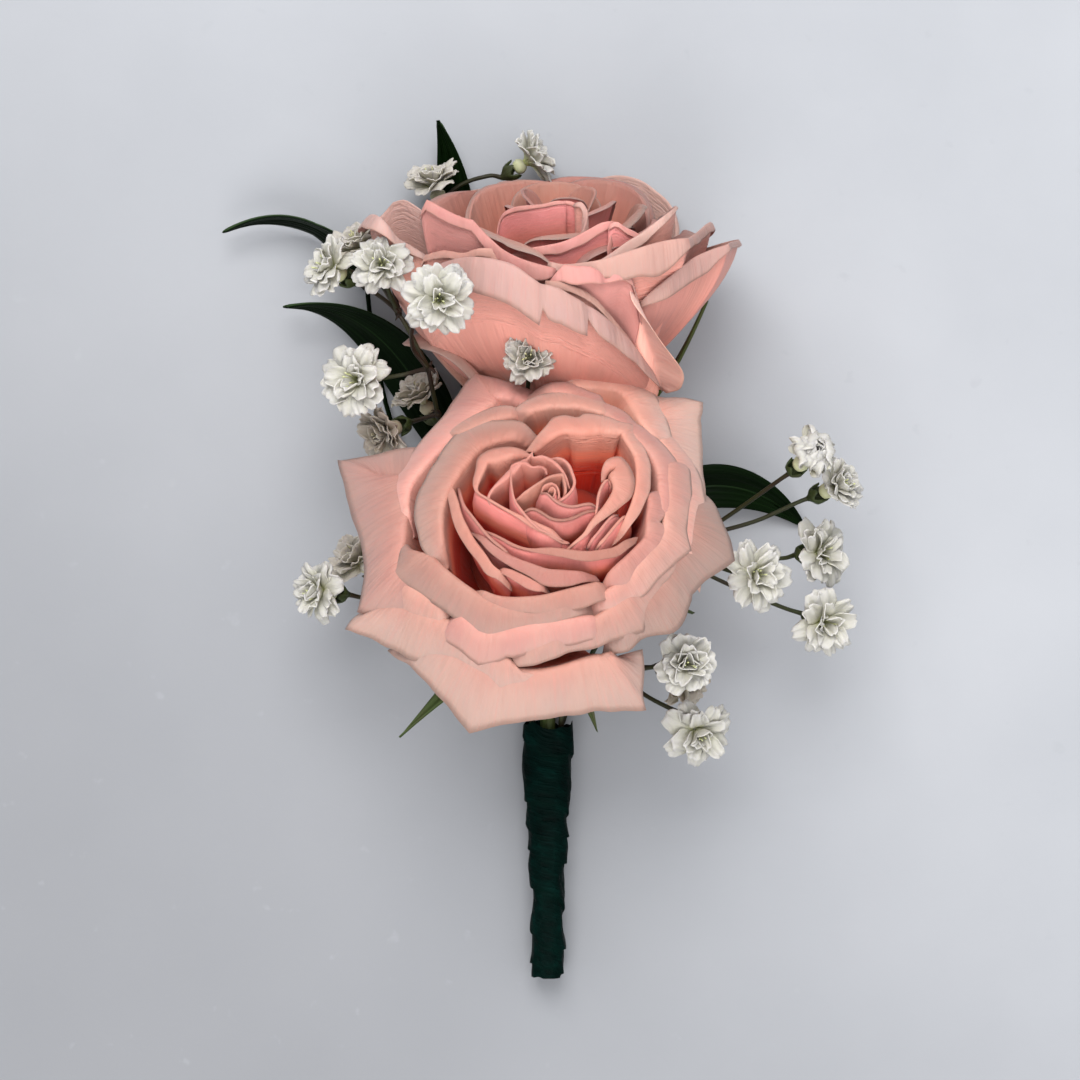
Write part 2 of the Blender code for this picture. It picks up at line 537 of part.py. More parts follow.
def leaf(name, slot, petiole, line, half_width, roll):
    """A pointed leaf on its petiole, which runs into the sleeve."""
    knots = [np.array(p, float) for p in line]

    def shape(u, v):
        t = v[:, None]
        centre = bezier(*knots, t)
        ahead = bezier(*knots, np.minimum(t + 0.01, 1.0)) - bezier(*knots, np.maximum(t - 0.01, 0.0))
        ahead /= np.linalg.norm(ahead, axis=1, keepdims=True)
        level = np.stack([ahead[:, 1], -ahead[:, 0], np.zeros(len(v))], axis=1)
        level /= np.linalg.norm(level, axis=1, keepdims=True)
        upper = np.cross(level, ahead)
        turn = np.radians(np.interp(v, (0.0, 0.5, 1.0), roll))[:, None]
        across = level * np.cos(turn) + upper * np.sin(turn)
        normal = upper * np.cos(turn) - level * np.sin(turn)
        half = half_width * (0.1 + 0.9 * np.sin(np.pi * v ** 0.75) ** 0.8) * (1.0 - 0.06 * v)
        half = (half * np.where(v > 0.98, 0.35, 1.0))[:, None]
        fold = 0.16 * np.abs(u)[:, None] * half
        return lay_on_table(centre + across * u[:, None] * half + normal * fold, LEAF_THICKNESS / 2)

    body = blade(name, LEAF_GRID, shape, LEAF_THICKNESS)
    root = knots[0] + 0.12 * (knots[1] - knots[0])
    inner_end, mouth = slot_points(slot)
    points = [inner_end, *smooth_route([mouth, *petiole, root], 2)]
    return fuse(body, [tube("petiole", points, [FINE_STEM_R] * len(points), 0)])


def bloom_mesh(form):
    """A double bloom: three tiers of petals raised in lobes from a turned body on a short neck."""
    reach, tip_z, height = BLOOM_FORMS[form]
    # each ring: radius, height, how deep its lobes are cut, and which way they are turned
    rings = ((1.0, 0.0, 0.0, 0), (1.15, 0.9, 0.0, 0), (reach, tip_z - 0.5, 0.2, 0),
             (reach, tip_z + 0.2, 0.3, 0), (0.55 * reach, tip_z - 0.2, 0.1, 0),
             (0.74 * reach, height - 0.5, 0.34, 1), (0.3 * reach, height - 0.9, 0.1, 1),
             (0.36 * reach, height, 0.4, 0))
    bm = bmesh.new()
    previous = None
    for index, (radius, z, cut, turn) in enumerate(rings):
        ring = []
        for k in range(2 * BLOOM_LOBES):
            valley = (k + turn) % 2
            r = radius * (1.0 - cut * valley) * (1.0 + 0.06 * math.sin(2.3 * k + index))
            rise = z + 0.25 * math.sin(1.9 * k + 2.1 * index) * (index > 1)
            angle = math.pi * k / BLOOM_LOBES
            ring.append(bm.verts.new(Vector((r * math.cos(angle), r * math.sin(angle), rise)) * MM))
        if previous:
            for k in range(len(ring)):
                j = (k + 1) % len(ring)
                bm.faces.new((previous[k], previous[j], ring[j], ring[k]))
        else:
            bm.faces.new(list(reversed(ring)))
        previous = ring
    crown = bm.verts.new((0.0, 0.0, (height - 0.7) * MM))
    for k in range(len(previous)):
        bm.faces.new((previous[k], previous[(k + 1) % len(previous)], crown))
    bmesh.ops.triangulate(bm, faces=bm.faces, quad_method="SHORT_EDGE")
    mesh = bpy.data.meshes.new("bloom_" + form)
    bm.to_mesh(mesh)
    bm.free()
    return mesh


def spray(name, slot, trunk, stems):
    """Stems and calyxes of a spray in one body. Returns it with the blooms' places."""
    inner_end, mouth = slot_points(slot)
    trunk_points = [inner_end, *smooth_route([mouth, *trunk], 2)]
    body = tube(name, trunk_points, [FINE_STEM_R] * len(trunk_points), 0)
    pieces = []
    seats = []
    for points, (bloom_name, form, centre, facing) in stems:
        face = Vector(facing).normalized()
        foot = Vector(centre) - BLOOM_CENTRE * face
        end = foot - (SEAT_GAP + 0.5 * CALYX_LENGTH) * face
        route = [*points, tuple(end)]
        pieces.append(tube("branch", route, [FINE_STEM_R] * len(route), 0))
        bm = bmesh.new()
        bmesh.ops.create_cone(bm, cap_ends=True, segments=6, radius1=0.5 * MM, radius2=CALYX_R * MM,
                              depth=CALYX_LENGTH * MM)
        turn = face.to_track_quat("Z", "Y").to_matrix().to_4x4()
        bm.transform(Matrix.Translation((foot - (SEAT_GAP + 0.5 * CALYX_LENGTH) * face) * MM) @ turn)
        mesh = bpy.data.meshes.new("calyx")
        bm.to_mesh(mesh)
        bm.free()
        pieces.append(add_object("calyx", mesh))
        seats.append((bloom_name, form, foot, turn))
    return fuse(body, pieces), seats


def main():
    """Build every piece, then centre the whole over the origin with its lowest point at 0."""
    for old in list(bpy.data.objects):
        bpy.data.objects.remove(old)
    petal_skin = principled("petal", (0.82, 0.42, 0.33), 0.55)
    white = principled("bloom_white", (0.82, 0.80, 0.72), 0.6)
    green = principled("rose_green", (0.13, 0.19, 0.06), 0.55)
    stem_green = principled("spray_green", (0.10, 0.12, 0.04), 0.6)
    leaf_green = principled("leaf_green", (0.015, 0.035, 0.008), 0.35)
    tape_green = principled("floral_tape", (0.004, 0.035, 0.018), 0.6)
    parts = []

    def keep(obj, material):
        obj.data.materials.clear()
        obj.data.materials.append(material)
        parts.append(obj)

    keep(rose_petals("rose_front_petals", FRONT_BASE, FRONT_TILT, FRONT_OUTER, FRONT_INNER, False),
         petal_skin)
    keep(rose_petals("rose_rear_petals", REAR_BASE, REAR_TILT, REAR_OUTER, REAR_INNER, True), petal_skin)
    keep(rose_green("rose_front_stem", FRONT_BASE, FRONT_TILT, FRONT_SEPALS, FRONT_STEM,
                    (STEM_HIGH_Z, STEM_HIGH_DROP)), green)
    rear_green = rose_green("rose_rear_stem", REAR_BASE, REAR_TILT, REAR_SEPALS, REAR_STEM,
                            (STEM_LOW_Z, STEM_LOW_DROP))
    keep(cut_at_table(rear_green), green)
    keep(tape_sleeve("tape_wrap"), tape_green)
    for row in LEAVES:
        keep(leaf(*row), leaf_green)
    meshes = {form: bloom_mesh(form) for form in BLOOM_FORMS}
    for name, slot, trunk, stems in SPRAYS:
        body, seats = spray(name, slot, trunk, stems)
        keep(body, stem_green)
        for index, (bloom_name, form, foot, turn) in enumerate(seats):
            bloom = add_object(bloom_name, meshes[form])
            bloom.matrix_world = Matrix.Translation(foot * MM) @ turn @ Matrix.Rotation(0.9 * index, 4, "Z")
            keep(bloom, white)

    bpy.context.view_layer.update()
    corners = np.array([obj.matrix_world @ vert.co for obj in parts for vert in obj.data.vertices])
    low, high = corners.min(axis=0), corners.max(axis=0)
    hub = add_object("boutonniere", None)
    group = bpy.data.collections.new("Boutonniere")
    bpy.context.scene.collection.children.link(group)
    for obj in parts:
        obj.parent = hub
        bpy.context.scene.collection.objects.unlink(obj)
        group.objects.link(obj)
    hub.location = (-(low[0] + high[0]) / 2.0, -(low[1] + high[1]) / 2.0, -low[2])


main()
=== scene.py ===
"""Looks of the boutonniere: fine petals, blooms, leaves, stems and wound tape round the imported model.

Lengths in the tables are millimetres. +Y runs from the cut ends to the rear rose, and +Z is up.
Rose axes: z along the flower's axis from the petal base, azimuth 0 to +X, 90 to the far side.
"""

import math
from collections import namedtuple

import bpy
import numpy as np
from mathutils import Matrix, Vector


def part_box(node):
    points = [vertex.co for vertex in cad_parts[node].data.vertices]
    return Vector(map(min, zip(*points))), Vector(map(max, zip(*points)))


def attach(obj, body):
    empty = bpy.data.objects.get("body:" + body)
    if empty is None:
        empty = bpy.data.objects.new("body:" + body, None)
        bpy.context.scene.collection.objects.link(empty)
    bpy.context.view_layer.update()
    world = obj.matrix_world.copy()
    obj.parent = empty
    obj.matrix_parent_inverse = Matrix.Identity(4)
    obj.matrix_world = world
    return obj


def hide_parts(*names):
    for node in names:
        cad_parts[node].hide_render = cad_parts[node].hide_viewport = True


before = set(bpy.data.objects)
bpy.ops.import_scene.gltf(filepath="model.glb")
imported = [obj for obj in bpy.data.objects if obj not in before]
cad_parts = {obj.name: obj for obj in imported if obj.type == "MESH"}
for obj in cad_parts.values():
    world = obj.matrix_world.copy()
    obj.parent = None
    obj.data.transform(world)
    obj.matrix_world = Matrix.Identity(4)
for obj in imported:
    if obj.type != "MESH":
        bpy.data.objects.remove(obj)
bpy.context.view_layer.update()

MM = 0.001

# Roses: base of the petals, and the tilt of the flower's axis from upright towards +Y.
FRONT_BASE = (1.2, -8.5, 14.0)
FRONT_TILT = 24.0
REAR_BASE = (2.8, 14.2, 8.0)
REAR_TILT = 66.0
SEAT_GAP = 0.3

# Taped stem: a sleeve of floral tape round two rose stems, one on the other.
TAPE_X = 1.1
TAPE_MOUTH_Y = -28.0
TAPE_END_Y = -62.7
TAPE_WALL = 0.6
TAPE_WRAPS = 7
# How square the sleeve's section is: 1 is an ellipse, less is squarer.
TAPE_SQUARE = 0.65
# Points of the sleeve's skin, around and along.
TAPE_GRID = (72, 320)
# (distance from the mouth, half width, height)
TAPE_SECTIONS = ((0.0, 3.42, 7.4), (8.0, 3.3, 7.3), (14.0, 2.75, 7.2), (20.0, 2.35, 7.0),
                 (28.0, 2.2, 6.8), (34.7, 2.1, 6.6))
STEM_LOW_Z = 2.2
STEM_HIGH_Z = 5.1
# how much lower a stem lies at its cut end than at the mouth
STEM_LOW_DROP = 0.2
STEM_HIGH_DROP = 0.4
# how far into the sleeve a stem runs level
STEM_LEVEL = 14.0

# Fine stems stand beside the rose stems in the mouth of the sleeve, four a side.
FINE_STEM_R = 0.35
SLOT_X = 1.9
SLOT_Z = (1.95, 3.1, 4.25, 5.4)
SLOT_DEPTH = 8.0
SLOT_REACH = 1.2

CALYX_R = 1.3
CALYX_LENGTH = 2.0
CALYX_SIDES = 30
CALYX_TEETH = 5

# Petals of the rear rose that lie behind the ones seen, and close it on the table's side.
# rim_r and rim_z are the rim's radius and height at the left end, middle and right end.
# belly is the control point (r, z) above the claw, lip how far the crest stands in and up,
# tips are points of the rim, (size, place from -1 to 1, width), wave is the depth of the blade's
# waves, and fall is how far the ends of the rim drop.
Petal = namedtuple("Petal", "azimuth half_span rim_r rim_z belly lip tips wave fall",
                   defaults=((), 0.35, 7.0))
REAR_HIDDEN = (
    Petal(196, 34, (18, 19.5, 15), (15, 17, 12), (10.5, 6), (3, 3), ((3.0, .03, .25),), wave=.4, fall=4),
    Petal(150, 46, (18, 19.5, 18), (28, 33, 28), (13, 8), (2.5, 2.5), wave=.6),
    Petal(332, 50, (15, 18, 18), (30, 32, 28), (12, 8), (3, 3), ((1.6, .25, .25),)),
    Petal(75, 50, (17, 18.0, 17), (28, 33.5, 28), (13, 8), (2, 2), wave=.6),
    Petal(216, 58, (15.5, 14.8, 18.5), (32, 34, 34), (12, 8), (2.5, 2.5), ((1.5, -.9, .2),), wave=.4),
    Petal(318, 50, (14.5, 15, 14), (31, 33.5, 34), (12, 8), (2.5, 2.5)),
    Petal(120, 56, (14, 15.5, 14), (30, 34, 30), (11, 9), (2, 2)),
    Petal(55, 56, (13, 14.5, 14), (30, 34.5, 30), (11, 9), (2, 2)),
    Petal(285, 58, (11.5, 11.6, 12), (32, 34, 35), (10, 9), (2, 2)),
    Petal(345, 50, (11, 12, 11), (31, 35, 31), (10, 9), (1.6, 2)),
    Petal(225, 70, (7.5, 8.2, 6.0), (32, 36, 32), (8, 9), (.9, 1), wave=.2),
    Petal(330, 66, (6.5, 7.6, 8.2), (32, 36, 32), (8, 9), (.9, 1), wave=.2),
    Petal(100, 76, (8, 8.8, 7), (32, 35.5, 32), (8, 9), (.9, 1), wave=.2),
    Petal(180, 80, (5, 5.6, 4.2), (32, 36.8, 33), (6, 9), (.6, 1), wave=.15),
    Petal(20, 80, (4.2, 5.2, 5.6), (32, 36.6, 33), (5, 9), (.6, 1), wave=.15),
    Petal(280, 80, (2.6, 3.6, 4.4), (32, 37, 34), (4, 9), (.4, 1), wave=.1),
)
# How late a hidden petal's rim drops towards its ends.
PETAL_POWER = 2.4
# Solid heart (r, z) under the innermost petals, lower than the CAD one so that it never shows.
HEART_PROFILE = ((0.3, 28.0), (4.0, 27.0), (8.0, 23.0), (11.0, 18.0), (10.0, 12.0), (7.0, 6.0),
                 (3.0, 0.5), (0.3, 0.2))
# Hip under the petals (r, z).
HIP_PROFILE = ((0, -0.3), (3.2, -0.3), (3.7, -1.6), (3.2, -4.2), (1.8, -6.4), (1.3, -7.2), (0, -7.2))

# Sepals: azimuth, then the centre line's (r, z) points, root to tip.
FRONT_SEPALS = (
    (222, ((2.6, -1.4), (11, -0.8), (20, -1.6), (28, -4.5))),
    (294, ((2.6, -1.4), (8, -2.0), (13, -6.0), (17, -11.0))),
    (6, ((2.6, -1.4), (9, -0.8), (16, -4.0), (21, -10.0))),
    (102, ((2.6, -1.4), (6, -2.2), (9, -5.0), (10, -8.0))),
    (160, ((2.6, -1.4), (9, -1.2), (15, -4.0), (20, -9.0))),
)
REAR_SEPALS = (
    (0, ((2.6, -1.4), (11, 0.0), (16.5, 10), (20.5, 21))),
    (74, ((2.6, -1.4), (7, -1.4), (11, 2), (12.5, 7))),
    (144, ((2.6, -1.4), (8, -1.6), (13, 2), (15, 9))),
    (214, ((2.6, -1.4), (6, -2.0), (9, 0), (11, 3))),
    (286, ((2.6, -1.4), (5, -2.2), (7.5, -1), (9.5, 1.5))),
)
SEPAL_HALF_WIDTH = 2.3
# Columns and rows of a sepal, and the azimuth of the one that shows yellow-green.
SEPAL_GRID = (8, 26)
BRIGHT_SEPAL = 222
HIP_SIDES = 30

# Stems' routes outside the sleeve, from the flower down to the mouth.
FRONT_STEM = ((1.2, -11.3, 7.7), (1.15, -15, 5.9), (1.1, -21, 5.1))
REAR_STEM = ((2.8, 7.9, 5.9), (2.6, 2.0, 3.6), (1.8, -6.0, 2.3), (1.2, -16.0, 2.2), (1.1, -24.0, 2.2))
STEM_R = 1.25
STEM_END_R = 1.1

# Leaves: name, slot (side, row), petiole points, blade centre line, half width,
# and the blade's roll in degrees at its root, middle and tip.
LEAVES = (
    ("leaf_top", (-1, 0), ((-6.5, -8, 1.9), (-9.8, 12, 1.6), (-11.5, 26, 1.4)),
     ((-12.4, 34, 1.1), (-12.6, 43, 0.8), (-11.2, 51.5, 0.9), (-14.6, 60.0, 6.0)), 3.6, (0, 8, 30)),
    ("leaf_left_middle", (-1, 1), ((-5.5, -14, 3.4), (-9.5, 2, 3.9)),
     ((-12.0, 10, 3.8), (-16.5, 23, 3.0), (-24.0, 35.5, 4.6), (-36.8, 33.4, 5.2)), 4.6, (0, 30, 82)),
    ("leaf_left_upper", (-1, 2), ((-7.5, -14, 3.2), (-15.5, 2, 1.9), (-21.8, 18, 1.2), (-24.2, 30, 1.2)),
     ((-24.8, 36, 2.2), (-26.5, 44, 3.8), (-36.0, 49.5, 4.4), (-45.6, 44.2, 4.0)), 3.8, (40, 80, 84)),
    ("leaf_right", (1, 0), ((6.0, -15, 1.8), (12.0, -2, 2.6)),
     ((17.0, 5, 4.6), (23.0, 9.5, 6.2), (31.5, 8.6, 4.0), (38.2, 2.0, 0.35)), 4.4, (-14, -6, 0)),
)

# Sprays: name, slot, the trunk's points, then its stems. A stem is (points, bloom) and starts on the
# trunk or on an earlier stem.
# A bloom is (name, form, centre, facing).
SPRAYS = (
    ("spray_left", (-1, 3), ((-4.0, -20, 5.6), (-7.0, -10, 7.0), (-11.5, 6, 12.0), (-14.2, 17.5, 18.5),
                             (-15.4, 23.6, 23.6)), (
        (((-15.4, 23.6, 23.6), (-19.4, 31.0, 24.4), (-23.6, 34.6, 22.0)),
         ("bloom_left_1", "half", (-28.9, 37.3, 25.6), (-0.72, 0.4, 0.56))),
        (((-19.4, 31.0, 24.4), (-22.0, 35.4, 15.0)),
         ("bloom_left_2", "half", (-25.7, 41.5, 12.6), (-0.4, 0.8, 0.44))),
        (((-19.4, 31.0, 24.4), (-20.9, 34.6, 25.0)),
         ("bloom_left_3", "open", (-21.4, 37.2, 31.6), (-0.06, 0.1, 0.98))),
        (((-15.4, 23.6, 23.6), (-17.4, 26.4, 26.4), (-16.8, 29.6, 33.0)),
         ("bloom_left_4", "open", (-13.2, 31.6, 42.4), (0.06, -0.12, 0.99))),
        (((-15.4, 23.6, 23.6), (-18.9, 22.8, 22.0), (-22.0, 22.2, 22.6)),
         ("bloom_left_5", "open", (-25.1, 21.8, 27.4), (-0.34, 0.04, 0.94))),
        (((-14.2, 17.5, 18.5), (-16.0, 17.0, 17.6)),
         ("bloom_left_6", "half", (-21.6, 15.0, 19.4), (-0.7, -0.3, 0.64))),
        (((-11.5, 6, 12.0), (-13.6, 13.5, 8.6)),
         ("bloom_left_7", "half", (-16.9, 20.4, 8.8), (-0.4, 0.75, 0.4))),
        (((-19.4, 31.0, 24.4), (-20.6, 37.6, 12.0), (-17.6, 44.6, 5.6), (-16.0, 47.2, 5.2)),
         ("bloom_top_1", "half", (-15.2, 51.0, 7.2), (-0.3, 0.85, 0.4))),
        (((-17.6, 44.6, 5.6), (-12.2, 50.4, 4.7), (-7.6, 52.2, 4.7)),
         ("bloom_top_2", "half", (-1.3, 54.6, 5.2), (0.8, 0.5, 0.16))),
        (((-7.0, -10, 7.0), (-14.5, -10.5, 9.4), (-23.0, -8.6, 13.2)),
         ("bloom_low_left_1", "half", (-30.8, -7.2, 19.0), (-0.8, 0.08, 0.6))),
        (((-14.5, -10.5, 9.4), (-20.5, -6.6, 8.6)),
         ("bloom_low_left_2", "half", (-25.8, -2.6, 10.6), (-0.62, 0.6, 0.5))),
    )),
    ("spray_centre", (1, 3), ((2.6, -22, 7.4), (-3.4, -15, 8.4), (-5.4, -5, 8.4), (-4.6, 4, 13.6),
                              (-2.8, 11, 17.6), (-2.0, 17.0, 21.2)), (
        (((-2.0, 17.0, 21.2), (-1.6, 21.6, 25.6)),
         ("bloom_centre", "half", (-1.4, 24.6, 31.6), (0.0, 0.1, 0.99))),
    )),
    ("spray_right", (1, 2), ((6.0, -19, 4.6), (12.0, -9, 6.4), (18.0, -2, 11.0), (22.0, 0.4, 15.0)), (
        (((22.0, 0.4, 15.0), (28.0, 4.6, 19.0), (32.6, 8.0, 22.6)),
         ("bloom_right_1", "bud", (36.4, 11.2, 28.0), (0.42, 0.4, 0.82))),
        (((22.0, 0.4, 15.0), (30.0, 2.6, 16.2), (35.8, 5.2, 17.6)),
         ("bloom_right_2", "half", (41.2, 7.5, 20.4), (0.76, 0.34, 0.55))),
        (((18.0, -2, 11.0), (26.0, -2.4, 13.4), (33.4, -2.6, 14.2)),
         ("bloom_right_3", "open", (39.3, -1.7, 16.2), (0.66, 0.08, 0.75))),
        (((22.0, 0.4, 15.0), (24.0, -3.2, 20.0)),
         ("bloom_right_4", "open", (29.6, -4.8, 27.0), (0.42, -0.02, 0.9))),
        (((18.0, -2, 11.0), (26.0, -6.0, 12.4), (33.4, -9.2, 14.4)),
         ("bloom_right_5", "open", (39.5, -11.4, 19.6), (0.5, -0.2, 0.84))),
        (((6.0, -19, 4.6), (10.0, -17.8, 12.0), (15.6, -17.6, 20.0)),
         ("bloom_low_right_1", "half", (19.6, -16.6, 32.8), (0.16, 0.02, 0.99))),
        (((10.0, -17.8, 12.0), (14.0, -18.2, 11.4)),
         ("bloom_low_right_2", "half", (20.2, -19.4, 14.2), (0.75, -0.3, 0.5))),
        (((10.0, -17.8, 12.0), (14.6, -21.6, 16.6)),
         ("bloom_low_right_3", "open", (21.8, -26.5, 22.4), (0.32, -0.42, 0.85))),
    )),
)
# Bloom forms: reach of the outer petals, the height of the tuft, and how far it is closed.
BLOOM_FORMS = {"open": (4.9, 5.2, 0.0), "half": (4.2, 5.8, 0.5), "bud": (3.2, 6.2, 1.0)}
# Height of a bloom's centre above its foot.
BLOOM_CENTRE = 2.8

# Dome that the rims of the front rose lie on: (radius, height).
FRONT_DOME = ((0, 35.6), (5, 34.6), (8, 33.8), (11, 32.8), (14, 31.3), (16, 29.9), (18, 28.2), (20, 26.3),
              (22, 24.3), (24, 22.4), (27, 20.2), (31, 18))

